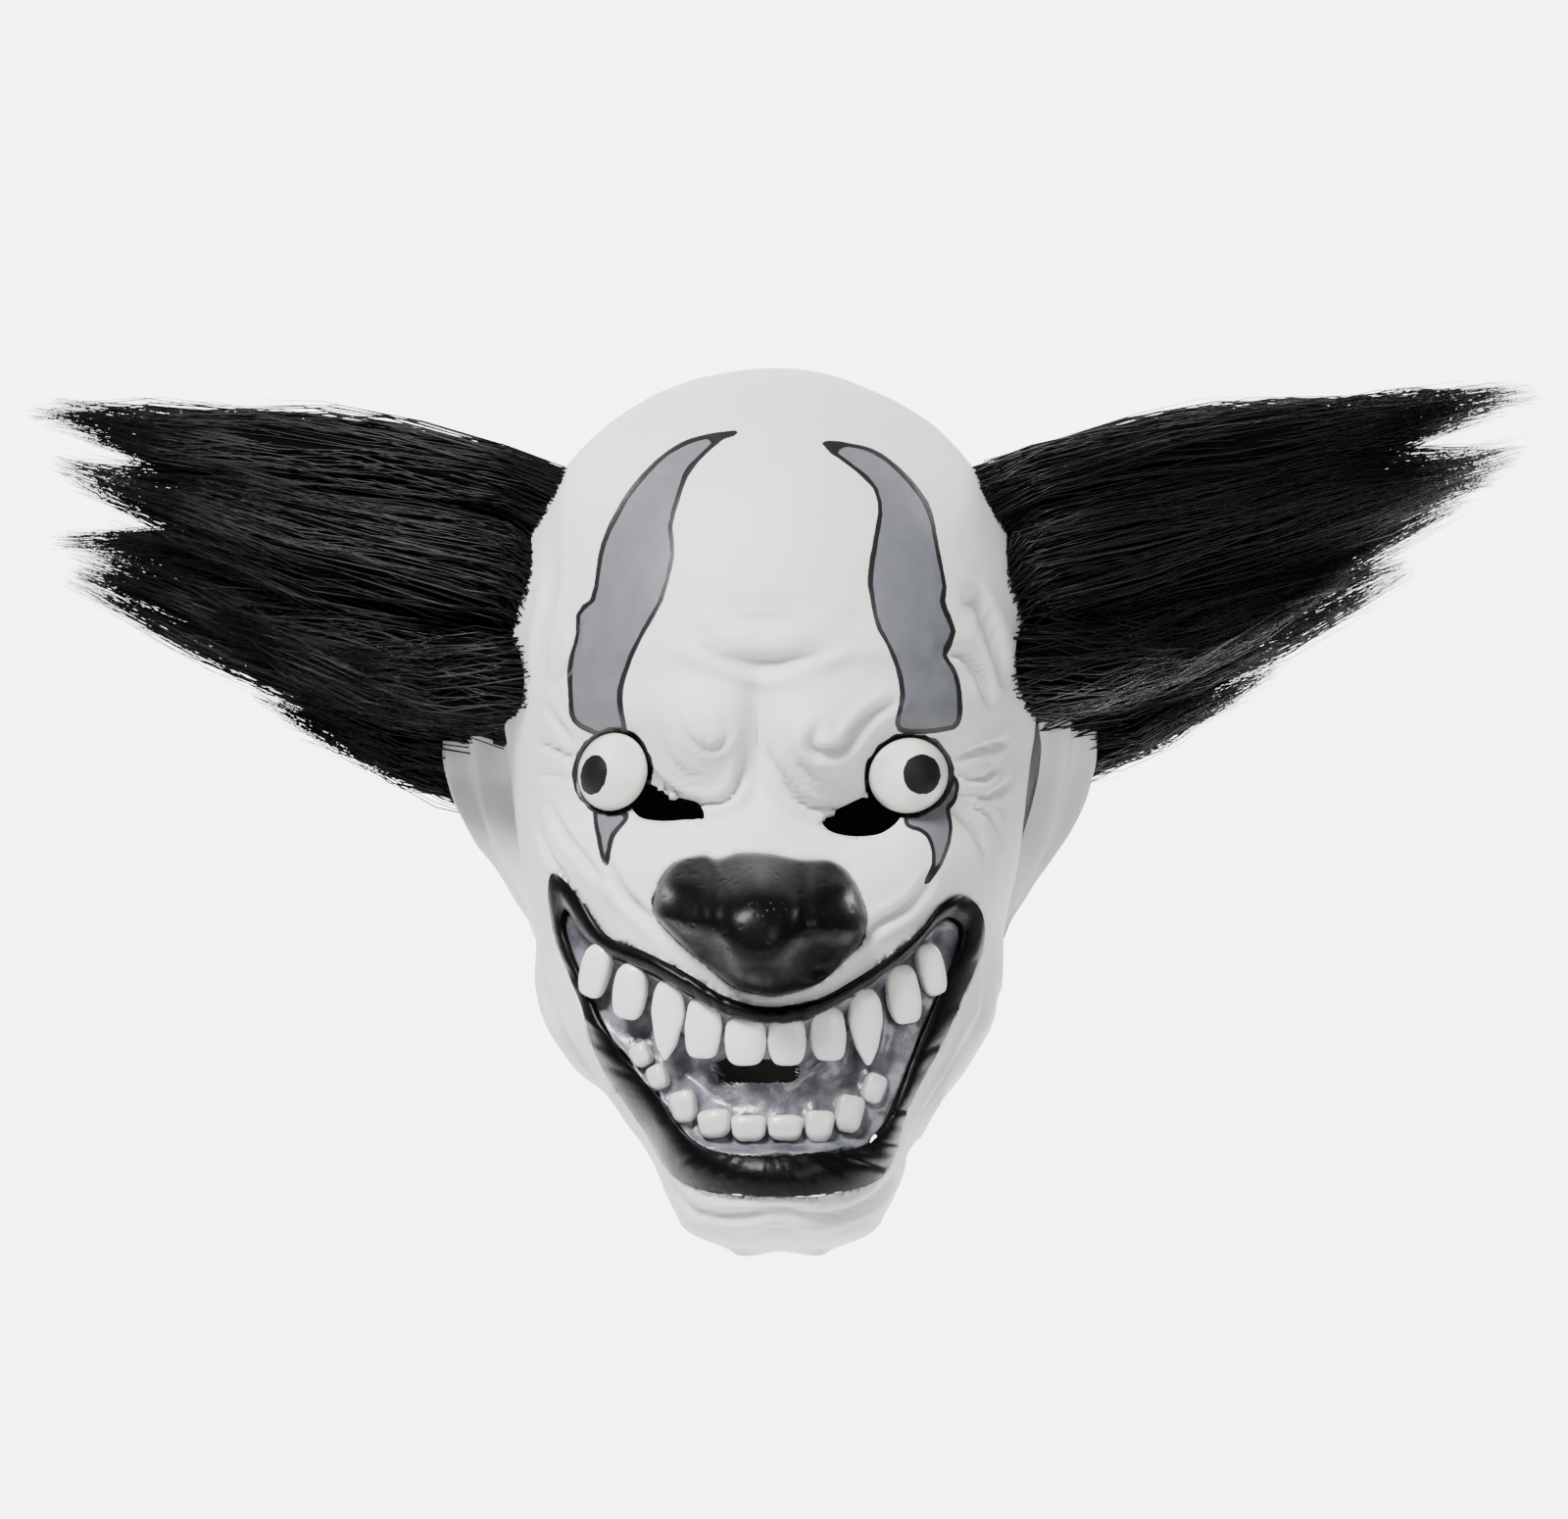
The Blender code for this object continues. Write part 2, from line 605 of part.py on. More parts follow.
def lock(name, start, tip, radius, sag, sides=7, rings=5):
    """One lock of fur, a tapering horn from its root inside the head to its tip."""
    bm = bmesh.new()
    span = tip - start
    loops = []
    for ring in range(rings + 1):
        share = ring / rings
        middle = start + span * share + Vector((0, 0, -sag * TUFT_HEIGHT)) * 4 * share * (1 - share)
        size = radius * (1 - share**2.8) + 0.04 * radius
        loop = []
        for step in range(sides):
            angle = 2 * pi * step / sides + 0.3 * ring
            loop.append(bm.verts.new(middle + Vector((0, cos(angle) * size * 1.5, sin(angle) * size))))
        loops.append(loop)
    skin(bm, loops)
    cap(bm, loops[0], start - span * 0.02)
    cap(bm, loops[-1], tip + span * 0.01)
    return new_object(name, bm)


def tuft(name, side, rows):
    """A fur tuft: locks fused to each other and to a backing that hugs the side of the head."""
    middle = place_on_head(0, TUFT_PLACE[1])
    heart = Vector((0, TUFT_PLACE[0] * TUFT_DEPTH, middle.y))
    edge = HEAD_HALF_WIDTH
    bm = bmesh.new()
    bmesh.ops.create_icosphere(bm, subdivisions=2, radius=1)
    size = (0.30 * HEAD_HALF_WIDTH, 0.50 * TUFT_DEPTH, 0.46 * TUFT_HEIGHT)
    bm.transform(Matrix.Translation(heart + Vector((side * 0.84 * edge, 0, 0))) @ Matrix.Diagonal((*size, 1)))
    body = new_object(name, bm, "fur_black")
    for label, (back, drop, reach, tip_back, tip_drop, thick, sag) in rows.items():
        start = heart + Vector((side * 0.74 * edge, back * TUFT_DEPTH, -drop * TUFT_HEIGHT))
        tip = heart + Vector((side * (edge + reach * TUFT_REACH), tip_back * TUFT_DEPTH, -tip_drop * TUFT_HEIGHT))
        combine(body, lock(label, start, tip, thick * LOCK_RADIUS, sag), "UNION", "MANIFOLD")
    combine(body, head_plug("scalp", 1.5 * CLEARANCE), "DIFFERENCE", "MANIFOLD")
    combine(body, ear_room(side), "DIFFERENCE", "MANIFOLD")
    return body


def mask_shell(mouth, nose):
    """The latex head: a wall with ears, cut for the mouth, nose, eyes and peepholes."""
    bm, rim = head_surface()
    shell = new_object("mask_shell", bm, "latex_white")
    wall = shell.modifiers.new("Wall", "SOLIDIFY")
    wall.thickness = WALL
    wall.offset = -1
    applied(shell)
    for side in (-1, 1):
        leaf = ear(side)
        combine(leaf, head_plug("inside", -0.5 * WALL), "DIFFERENCE")
        combine(shell, leaf, "UNION")
    combine(shell, hole("mouth_cutter", mouth, mouth_place(*MOUTH_HUB)), "DIFFERENCE")
    combine(shell, hole("nose_cutter", nose, place_on_head(*NOSE_PLACE)), "DIFFERENCE")
    for name, row in EYES.items():
        combine(shell, hole("socket_cutter", eye_outline(row, 0.0), place_on_head(*row[:2])), "DIFFERENCE")
        combine(shell, peephole(name), "DIFFERENCE")
    finish(shell, "latex_white")
    return shell


def eye_outline(row, clearance):
    across, drop, width, height, lean = row
    middle = place_on_head(across, drop)
    size = (width * EYE_WIDTH - 2 * clearance, height * EYE_HEIGHT - 2 * clearance)
    return ellipse(middle, *size, lean, EYE_STEPS)


def peephole(name):
    mirror = -1 if name == "left" else 1
    middle = place_on_head(*PEEPHOLES[name])
    points = []
    for x, z in spline(PEEPHOLE_OUTLINE, 2 * len(PEEPHOLE_OUTLINE)):
        points.append(middle + Vector((mirror * x * PEEPHOLE_WIDTH, z * PEEPHOLE_HEIGHT)))
    return hole("peephole_cutter", points, middle)


def eyeball(name, row):
    """A glossy dome seated in its socket."""
    middle = place_on_head(*row[:2])
    level = float(face_y(middle.x, middle.y))

    def front(x, z, share):
        edge = float(face_y(x, z)) - 0.3 * WALL
        return edge * share**2 + level * (1 - share**2) - EYE_BULGE * (1 - share**2) ** 0.5

    return hollow_dome(name, eye_outline(row, CLEARANCE), middle, front, 4, "eye_gloss")


def nose_outline():
    middle = place_on_head(*NOSE_PLACE)
    points = spline(NOSE_OUTLINE, NOSE_STEPS)
    return [middle + Vector((x * NOSE_WIDTH, z * NOSE_HEIGHT)) for x, z in points]


def nose_rise(x, z):
    """How far the nose's lobes stand out, at a place measured from the nose's middle."""
    total = 0.0
    for across, up, reach, tall, rise in NOSE_LOBES.values():
        dx = (x / NOSE_WIDTH - across) / reach
        dz = (z / NOSE_HEIGHT - up) / tall
        total += rise * NOSE_BULGE * np.exp(-((dx * dx + dz * dz) ** 1.7))
    return total


def nose_piece():
    """The hollow black nose, seated in its hole."""
    middle = place_on_head(*NOSE_PLACE)

    def front(x, z, share):
        lift = float(nose_rise(x - middle.x, z - middle.y)) * (1 - share**5) ** 0.5
        return float(face_y(x, z)) - 0.5 * WALL - lift

    return hollow_dome("nose", inset(nose_outline(), CLEARANCE), middle, front, 6, "black_gloss")


def mouth_place(x, z):
    middle = place_on_head(*MOUTH_PLACE)
    return middle + Vector((x * MOUTH_WIDTH, z * MOUTH_HEIGHT))


def lip_outlines():
    """The lips' outer and inner outlines, step for step."""
    points = spline(LIPS, OUTLINE_STEPS)
    outer = [mouth_place(row[0], row[1]) for row in points]
    inner = [mouth_place(row[2], row[3]) for row in points]
    return outer, inner


def lips_piece(outer, inner):
    """The black lip ring: a rounded band between its two outlines."""
    bm = bmesh.new()
    outer = inset(outer, CLEARANCE)
    loops = []
    for share in (0.0, 0.25, 0.6, 0.9, 1.0):
        rise = LIP_RISE * sin(pi * min(0.12 + 0.85 * share, 1.0)) ** 0.7
        loop = []
        for a, b in zip(outer, inner):
            at = a.lerp(b, share)
            loop.append(bm.verts.new((at.x, float(face_y(at.x, at.y)) - rise, at.y)))
        loops.append(loop)
    for edge in (inner, outer):
        loops.append([bm.verts.new((p.x, float(face_y(p.x, p.y)) + LIP_BACK, p.y)) for p in edge])
    skin(bm, loops + loops[:1])
    return new_object("lips", bm, "black_gloss")


def gums_piece(inner):
    """The grey mouth lining: a shallow bowl inside the lips with a breathing slot."""
    outline = inset(inner, CLEARANCE)
    middle = mouth_place(*MOUTH_HUB)
    bm = bmesh.new()
    shares = (0.25, 0.5, 0.7, 0.86, 1.0)
    sides = []
    for back in (0.0, WALL):
        rings = []
        for share in shares:
            ring = []
            for point in outline:
                at = middle.lerp(point, share)
                depth = GUM_RIM + GUM_DEPTH * (1 - share**2.5)
                ring.append(bm.verts.new((at.x, float(face_y(at.x, at.y)) + depth + back, at.y)))
            rings.append(ring)
        skin(bm, rings)
        cap(bm, rings[0], (middle.x, float(face_y(*middle)) + GUM_RIM + GUM_DEPTH + back, middle.y))
        sides.append(rings)
    skin(bm, [sides[0][-1], sides[1][-1]])
    gums = new_object("gums", bm, "gum_grey")
    combine(gums, slot_cutter(), "DIFFERENCE")
    finish(gums, "gum_grey")
    return gums


def slot_cutter():
    """The breathing slot between the rows of teeth, with round ends."""
    middle = mouth_place(*SLOT_PLACE)
    radius = SLOT_HEIGHT / 2
    reach = max(SLOT_WIDTH / 2 - radius, 0)
    bm = bmesh.new()
    rings = []
    for y in (-1.6 * FRONT_DEPTH, -0.6 * FRONT_DEPTH):
        ring = []
        for step in range(12):
            angle = 2 * pi * (step + 0.5) / 12
            end = reach if cos(angle) > 0 else -reach
            ring.append(bm.verts.new((middle.x + end + radius * cos(angle), y, middle.y + radius * sin(angle))))
        bm.faces.new(ring)
        rings.append(ring)
    skin(bm, rings)
    return new_object("slot_cutter", bm)


def tooth(name, row, gum_tree, lip_tree):
    """One tooth, turned to follow the jaw and seated just clear of the gum."""
    across, width, root, bite, lean, point = row
    middle = mouth_place(across, (root + bite) / 2)
    height = abs(root - bite) * MOUTH_HEIGHT
    width = width * MOUTH_WIDTH
    step = 0.02 * MOUTH_WIDTH
    slope = float(face_y(middle.x + step, middle.y) - face_y(middle.x - step, middle.y)) / (2 * step)
    yaw = atan2(slope, 1) / 2
    down = -1 if bite < root else 1
    bm = bmesh.new()
    rings = []
    for share, wide, deep in ((0.0, 0.80, 0.75), (0.25, 0.97, 1.0), (0.65, 1.0, 0.9), (1.0, point, 0.55)):
        wide *= 0.5 * width
        deep *= 0.5 * TOOTH_DEPTH
        ring = []
        for corner in range(8):
            angle = 2 * pi * (corner + 0.5) / 8
            x = wide * np.sign(cos(angle)) * abs(cos(angle)) ** 0.6
            y = deep * np.sign(sin(angle)) * abs(sin(angle)) ** 0.6
            ring.append(bm.verts.new((float(x), float(y), down * height * (share - 0.5))))
        rings.append(ring)
    skin(bm, rings)
    bm.faces.new(rings[0])
    bm.faces.new(rings[-1])
    bmesh.ops.recalc_face_normals(bm, faces=bm.faces)
    turned = Matrix.Rotation(yaw, 4, "Z") @ Matrix.Rotation(radians(lean), 4, "Y")
    inward = Vector((0, 1, 0))
    slot = mouth_place(*SLOT_PLACE)
    off_lips = Vector((slot.x - middle.x, 0, slot.y - middle.y)).normalized()
    bm.transform(Matrix.Translation((middle.x, -2 * FRONT_DEPTH, middle.y)) @ turned)
    bm.normal_update()
    room = bm.copy()
    for vert, normal in [(vert, vert.normal.copy()) for vert in room.verts]:
        vert.co += normal * CLEARANCE
    hits = [gum_tree.ray_cast(vert.co, inward)[3] for vert in room.verts]
    travel = inward * min(hit for hit in hits if hit)
    bmesh.ops.translate(room, verts=room.verts, vec=travel)
    touching = True
    while touching:
        touching = False
        for neighbour, away in ((lip_tree, off_lips), (gum_tree, -inward)):
            while BVHTree.FromBMesh(room).overlap(neighbour):
                bmesh.ops.translate(room, verts=room.verts, vec=away * CLEARANCE)
                travel = travel + away * CLEARANCE
                touching = True
    room.free()
    bmesh.ops.translate(bm, verts=bm.verts, vec=travel)
    return new_object(name, bm, "tooth_ivory")


def tree_of(thing):
    bm = bmesh.new()
    bm.from_mesh(thing.data)
    tree = BVHTree.FromBMesh(bm)
    bm.free()
    return tree


def build():
    for thing in list(bpy.data.objects):
        bpy.data.objects.remove(thing)
    outer, inner = lip_outlines()
    mask_shell(outer, nose_outline())
    for name, row in EYES.items():
        eyeball(f"eye_{name}", row)
    nose_piece()
    lip_tree = tree_of(lips_piece(outer, inner))
    gum_tree = tree_of(gums_piece(inner))
    for label, rows in (("upper", UPPER_TEETH), ("lower", LOWER_TEETH)):
        for number, row in enumerate(rows, 1):
            tooth(f"{label}_tooth_{number}", row, gum_tree, lip_tree)
    for name, rows in LOCKS.items():
        tuft(f"hair_{name}", -1 if name == "right" else 1, rows)
    for thing in bpy.data.objects:
        thing.data.shade_smooth()
        thing.data.set_sharp_from_angle(angle=radians(50))


build()
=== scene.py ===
"""Clown mask: the looks of a full-head latex mask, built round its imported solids."""

from math import atan2, cos, pi, radians, sin

import bmesh
import bpy
import numpy as np
from mathutils import Matrix, Vector, noise


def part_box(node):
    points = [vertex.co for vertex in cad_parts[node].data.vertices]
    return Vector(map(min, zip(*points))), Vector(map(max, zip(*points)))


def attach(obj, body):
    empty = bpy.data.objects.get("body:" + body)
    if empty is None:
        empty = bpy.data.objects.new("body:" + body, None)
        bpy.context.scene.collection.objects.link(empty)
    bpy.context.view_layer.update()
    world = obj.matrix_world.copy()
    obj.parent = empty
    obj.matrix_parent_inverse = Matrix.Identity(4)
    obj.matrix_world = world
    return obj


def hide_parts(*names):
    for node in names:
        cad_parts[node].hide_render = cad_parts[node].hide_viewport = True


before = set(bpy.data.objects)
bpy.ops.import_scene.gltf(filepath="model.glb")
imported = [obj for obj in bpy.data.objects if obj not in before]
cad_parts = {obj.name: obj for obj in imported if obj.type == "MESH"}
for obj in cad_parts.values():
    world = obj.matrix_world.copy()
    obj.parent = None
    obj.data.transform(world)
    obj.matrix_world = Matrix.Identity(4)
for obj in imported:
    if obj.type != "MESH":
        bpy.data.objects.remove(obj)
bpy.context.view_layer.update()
MM = 0.001


# The head is one hollow casting of white latex, about 2 mm thick, that slips on from the neck. Its face
# is sculpted in the mould, with holes left for the eyes, the nose and the mouth, and it is painted by hand.
HEAD_HEIGHT = 302 * MM
HALF_WIDTH = 94 * MM
FRONT_DEPTH = 106 * MM
BACK_DEPTH = 104 * MM
DOME_HEIGHT = 100 * MM
WALL = 2.2 * MM
FOLD_RISE = 10 * MM
HEAD_COLUMNS = 250
HEAD_ROWS = 152
FRONT_SHARE = 0.74
DOME_SHARE = 0.20
HOLE_REACH = 1.1 * MM

# Sections of the head: drop is a share of HEAD_HEIGHT, the rest are shares of the width and depths
SECTION_COLUMNS = ("drop", "width", "shift", "axis", "front", "back", "corner")
SECTIONS = (
    (0.000, 1.00, 0.00, 0.00, 1.00, 1.00, 2.00),
    (0.200, 1.00, 0.00, 0.00, 1.00, 1.00, 2.05),
    (0.364, 1.00, 0.00, 0.00, 1.00, 1.00, 2.15),
    (0.464, 0.96, 0.00, 0.00, 0.97, 0.96, 2.25),
    (0.563, 0.92, 0.00, -0.03, 1.00, 0.90, 2.30),
    (0.646, 0.865, 0.00, -0.06, 1.01, 0.80, 2.30),
    (0.712, 0.850, 0.00, -0.11, 0.98, 0.72, 2.30),
    (0.755, 0.815, 0.00, -0.19, 0.92, 0.73, 2.30),
    (0.795, 0.725, 0.01, -0.29, 0.84, 0.79, 2.30),
    (0.838, 0.610, 0.02, -0.40, 0.75, 0.87, 2.30),
    (0.877, 0.510, 0.03, -0.49, 0.67, 0.90, 2.30),
    (0.921, 0.440, 0.04, -0.55, 0.61, 0.70, 2.35),
    (0.960, 0.385, 0.04, -0.60, 0.54, 0.40, 2.40),
    (0.984, 0.325, 0.04, -0.66, 0.43, 0.20, 2.40),
    (1.000, 0.190, 0.04, -0.72, 0.24, 0.08, 2.30),
)

# The lower edge: turn from the front as a share of half a turn, drop as a share of HEAD_HEIGHT
RIM_COLUMNS = ("turn", "drop")
RIM = (
    (0.00, 1.000),
    (0.36, 1.000),
    (0.48, 0.985),
    (0.56, 0.950),
    (0.64, 0.915),
    (0.74, 0.888),
    (0.86, 0.873),
    (1.00, 0.868),
)

# Swellings and hollows: across and reach are shares of HALF_WIDTH, drop and tall of HEAD_HEIGHT, lean is
# in degrees and rise is a share of FOLD_RISE
FOLDS = {
    "brow_knot_right": (-0.265, 0.418, 0.20, 0.050, 0, 1.00),
    "brow_knot_left": (0.180, 0.430, 0.20, 0.050, 0, 1.00),
    "frown_furrow": (-0.045, 0.425, 0.05, 0.060, 0, -0.75),
    "forehead_ridge": (-0.02, 0.330, 0.55, 0.018, 0, 0.22),
    "brow_ridge_right": (-0.58, 0.395, 0.22, 0.028, 0, 0.35),
    "brow_ridge_left": (0.52, 0.395, 0.22, 0.028, 0, 0.35),
    "socket_right": (-0.560, 0.470, 0.22, 0.058, 0, -0.75),
    "socket_left": (0.500, 0.472, 0.22, 0.058, 0, -0.75),
    "peep_hollow_right": (-0.345, 0.510, 0.18, 0.036, 0, -0.85),
    "peep_hollow_left": (0.300, 0.515, 0.18, 0.036, 0, -0.85),
    "cheek_right": (-0.620, 0.570, 0.24, 0.048, 20, 0.75),
    "cheek_left": (0.590, 0.575, 0.24, 0.048, -20, 0.75),
    "muzzle": (-0.03, 0.645, 0.55, 0.100, 0, 1.00),
    "smile_fold_right": (-0.82, 0.620, 0.07, 0.080, 0, 0.50),
    "smile_fold_left": (0.80, 0.620, 0.07, 0.080, 0, 0.50),
    "lower_jaw": (0.02, 0.850, 0.42, 0.080, 0, 0.60),
    "chin": (0.03, 0.955, 0.32, 0.040, 0, 0.50),
    "chin_cleft": (0.03, 0.985, 0.06, 0.035, 0, -0.30),
}

CREASE_DEPTH = 2.3
# Creases as seen from the front: width and depth, then the points they run through as x and drop, in mm
CREASES = (
    (4.5, 0.9, ((-30, 80), (-12, 86), (2, 88), (14, 85))),
    (4.0, 1.3, ((-34, 88), (-20, 99), (-3, 104), (14, 101), (34, 90))),
    (2.4, 0.5, ((-28, 95), (-14, 104), (0, 108), (16, 106))),
    (3.0, 1.8, ((43, 117), (35, 121), (29, 127), (24, 133), (17, 134), (14, 131), (17, 125))),
    (1.6, 0.8, ((-34, 112), (-31, 122), (-26, 130), (-19, 133), (-14, 128), (-16, 120), (-22, 118))),
    (2.2, 1.3, ((-46, 128), (-40, 141), (-28, 150), (-15, 150), (-9, 141), (-8, 128))),
    (2.2, 1.3, ((-5, 120), (-3, 131), (3, 141), (10, 150), (20, 153), (30, 151), (36, 143))),
    (1.4, 0.5, ((-38, 118), (-36, 130), (-29, 140), (-19, 142))),
    (1.4, 0.5, ((5, 118), (7, 130), (12, 140), (22, 144), (31, 139))),
    (1.2, 0.4, ((-24, 122), (-21, 127), (-23, 132))),
    (3.0, 1.0, ((-76, 60), (-74, 78), (-77, 94), (-79, 110))),
    (3.5, 1.4, ((60, 79), (71, 84), (77, 96), (79, 108))),
    (3.0, 1.9, ((58, 99), (66, 101), (72, 107), (75, 116))),
    (2.6, 1.0, ((-72, 84), (-66, 92), (-68, 104), (-74, 112))),
    (2.0, 1.1, ((64, 136), (72, 133), (81, 130))),
    (1.8, 1.0, ((64, 141), (72, 143), (78, 139))),
    (1.8, 0.9, ((63, 147), (75, 149), (82, 144))),
    (2.2, 1.0, ((62, 153), (70, 161), (75, 172))),
    (1.8, 0.8, ((66, 150), (76, 156), (80, 166))),
    (2.0, 0.9, ((-67, 130), (-72, 124), (-76, 119))),
    (1.8, 0.9, ((-66, 136), (-73, 133), (-80, 130))),
    (1.8, 0.7, ((-66, 144), (-73, 142), (-80, 141))),
    (2.4, 1.1, ((-75, 152), (-70, 161), (-62, 171), (-55, 178))),
    (1.8, 0.8, ((-79, 160), (-75, 169), (-69, 177))),
    (2.8, 1.4, ((-56, 169), (-50, 180), (-42, 188), (-34, 196))),
    (2.8, 1.3, ((55, 176), (46, 186), (36, 192), (30, 198))),
    (2.0, 0.8, ((-28, 153), (-26, 158), (-20, 160))),
    (2.6, 1.3, ((-35, 277), (-26, 287), (-13, 289), (3, 287), (20, 289), (35, 284), (42, 276))),
    (1.6, 0.5, ((-20, 293), (-8, 296), (3, 293), (16, 297), (28, 292))),
    (2.6, 0.9, ((-77, 205), (-75, 220), (-66, 236), (-56, 248))),
    (2.0, 0.7, ((-72, 226), (-62, 243), (-52, 257), (-44, 272))),
    (2.4, 0.9, ((74, 206), (73, 222), (66, 236), (58, 250))),
    (1.8, 0.8, ((69, 226), (62, 240), (52, 256), (46, 272))),
    (1.6, 0.6, ((64, 236), (56, 250), (50, 262), (46, 280))),
    (1.5, 0.5, ((80, 196), (78, 210), (79, 222))),
    (1.5, 0.5, ((-80, 196), (-79, 210), (-77, 218))),
)


def between(table, columns, key, wanted, at):
    """One column of a table, read smoothly at a value of its key column."""
    rows = np.array(table, dtype=float)
    keys = rows[:, columns.index(key)]
    values = rows[:, columns.index(wanted)]
    at = np.clip(at, keys[0], keys[-1])
    slopes = np.gradient(values, keys)
    row = np.clip(np.searchsorted(keys, at) - 1, 0, len(keys) - 2)
    step = keys[row + 1] - keys[row]
    share = (at - keys[row]) / step
    near = (1 + 2 * share) * (1 - share) ** 2 * values[row] + share * (1 - share) ** 2 * step * slopes[row]
    far = share**2 * (3 - 2 * share) * values[row + 1] - share**2 * (1 - share) * step * slopes[row + 1]
    return near + far


def section(drop):
    """Half width, sideways shift, axis, front depth, back depth and corner of the head at a drop."""
    share = drop / HEAD_HEIGHT
    read = {name: between(SECTIONS, SECTION_COLUMNS, "drop", name, share) for name in SECTION_COLUMNS[1:]}
    rise = np.clip(1 - drop / DOME_HEIGHT, 0, 1)
    dome = np.sqrt(np.maximum(1 - rise**2, 0))
    return (
        read["width"] * HALF_WIDTH * dome,
        read["shift"] * HALF_WIDTH,
        read["axis"] * FRONT_DEPTH,
        read["front"] * FRONT_DEPTH * dome,
        read["back"] * BACK_DEPTH * dome,
        read["corner"],
    )


def folds(x, drop):
    """How far the swellings lift the face at a place seen from the front."""
    total = np.zeros_like(np.asarray(x, dtype=float) + drop)
    for across, fold_drop, reach, tall, lean, rise in FOLDS.values():
        dx = x - across * HALF_WIDTH
        dz = fold_drop * HEAD_HEIGHT - drop
        turn = radians(lean)
        along = (dx * cos(turn) + dz * sin(turn)) / (reach * HALF_WIDTH)
        upright = (dz * cos(turn) - dx * sin(turn)) / (tall * HEAD_HEIGHT)
        total += rise * FOLD_RISE * np.exp(-(along**2) - upright**2)
    return total


def face_y(x, z):
    """The front of the head at a place seen from the front, as a y coordinate."""
    drop = WALL - z
    width, shift, axis, front, back, corner = section(drop)
    share = np.clip(np.abs(x - shift) / np.maximum(width, 1e-6), 0, 0.995)
    bow = (1 - share**corner) ** (1 / corner)
    return axis - front * bow - folds(x, drop) * bow**0.5


def spline(points, steps, closed=True):
    """A smooth curve through points, as rows of numbers."""
    points = np.array(points, dtype=float)
    count = len(points)
    spans = count if closed else count - 1
    found = []
    for step in range(steps):
        place = spans * step / (steps if closed else steps - 1)
        index = min(int(place), spans - 1)
        share = place - index
        if closed:
            near = [points[(index + shift) % count] for shift in (-1, 0, 1, 2)]
        else:
            near = [points[min(max(index + shift, 0), count - 1)] for shift in (-1, 0, 1, 2)]
        before, start, end, after = near
        curve = 2 * start + (end - before) * share
        curve = curve + (2 * before - 5 * start + 4 * end - after) * share**2
        curve = curve + (3 * start - before - 3 * end + after) * share**3
        found.append(curve / 2)
    return np.array(found)


def distance_along(points, x, z):
    """Distance from each place to a line through points, and the share of the line that is nearest."""
    best = np.full(len(x), 1e9)
    share = np.zeros(len(x))
    spans = len(points) - 1
    for step in range(spans):
        ax, az = points[step]
        bx, bz = points[step + 1] - points[step]
        along = np.clip(((x - ax) * bx + (z - az) * bz) / max(bx * bx + bz * bz, 1e-12), 0, 1)
        gap = np.hypot(x - ax - along * bx, z - az - along * bz)
        nearer = gap < best
        best = np.where(nearer, gap, best)
        share = np.where(nearer, (step + along) / spans, share)
    return best, share


def signed_distance(outline, x, z):
    """Distance to a closed outline, negative inside it."""
    ring = np.vstack([outline, outline[:1]])
    gap, share = distance_along(ring, x, z)
    inside = np.zeros(len(x), dtype=bool)
    for (ax, az), (bx, bz) in zip(ring, ring[1:]):
        crosses = (az > z) != (bz > z)
        if az != bz:
            inside ^= crosses & (x < (bx - ax) * (z - az) / (bz - az) + ax)
    return np.where(inside, -gap, gap)


def relief(x, z, ahead):
    """Height of the fine creases on the skin, faded to nothing behind the ears."""
    height = np.zeros(len(x))
    for width, depth, points in CREASES:
        line = spline([(px * MM, WALL - drop * MM) for px, drop in points], 24, closed=False)
        reach = 5 * width * MM
        near = (x > line[:, 0].min() - reach) & (x < line[:, 0].max() + reach)
        near &= (z > line[:, 1].min() - reach) & (z < line[:, 1].max() + reach) & (ahead > 0)
        gap, share = distance_along(line, x[near], z[near])
        fade = np.clip(np.sin(pi * np.clip(share, 0.02, 0.98)), 0, 1) ** 0.6
        wide = 0.62 * width * MM
        groove = np.exp(-((gap / wide) ** 2))
        lips = 0.45 * np.exp(-(((gap - 1.9 * wide) / wide) ** 2))
        height[near] += CREASE_DEPTH * depth * MM * fade * (lips - groove)
    return height * ahead


def read_verts(bm):
    return np.array([vert.co for vert in bm.verts])


def write_verts(bm, places):
    for vert, place in zip(bm.verts, places):
        vert.co = place


def new_piece(name, bm, smooth=True):
    """An object at the origin from a bmesh, riding on the mask."""
    mesh = bpy.data.meshes.new(name)
    bm.to_mesh(mesh)
    bm.free()
    piece = bpy.data.objects.new(name, mesh)
    bpy.context.scene.collection.objects.link(piece)
    if smooth:
        mesh.shade_smooth()
    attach(piece, "root")
    return piece


def place_on_head(across, drop):
    """A place given as shares of the head's half width and height, as x and z."""
    return np.array([across * HALF_WIDTH, WALL - drop * HEAD_HEIGHT])


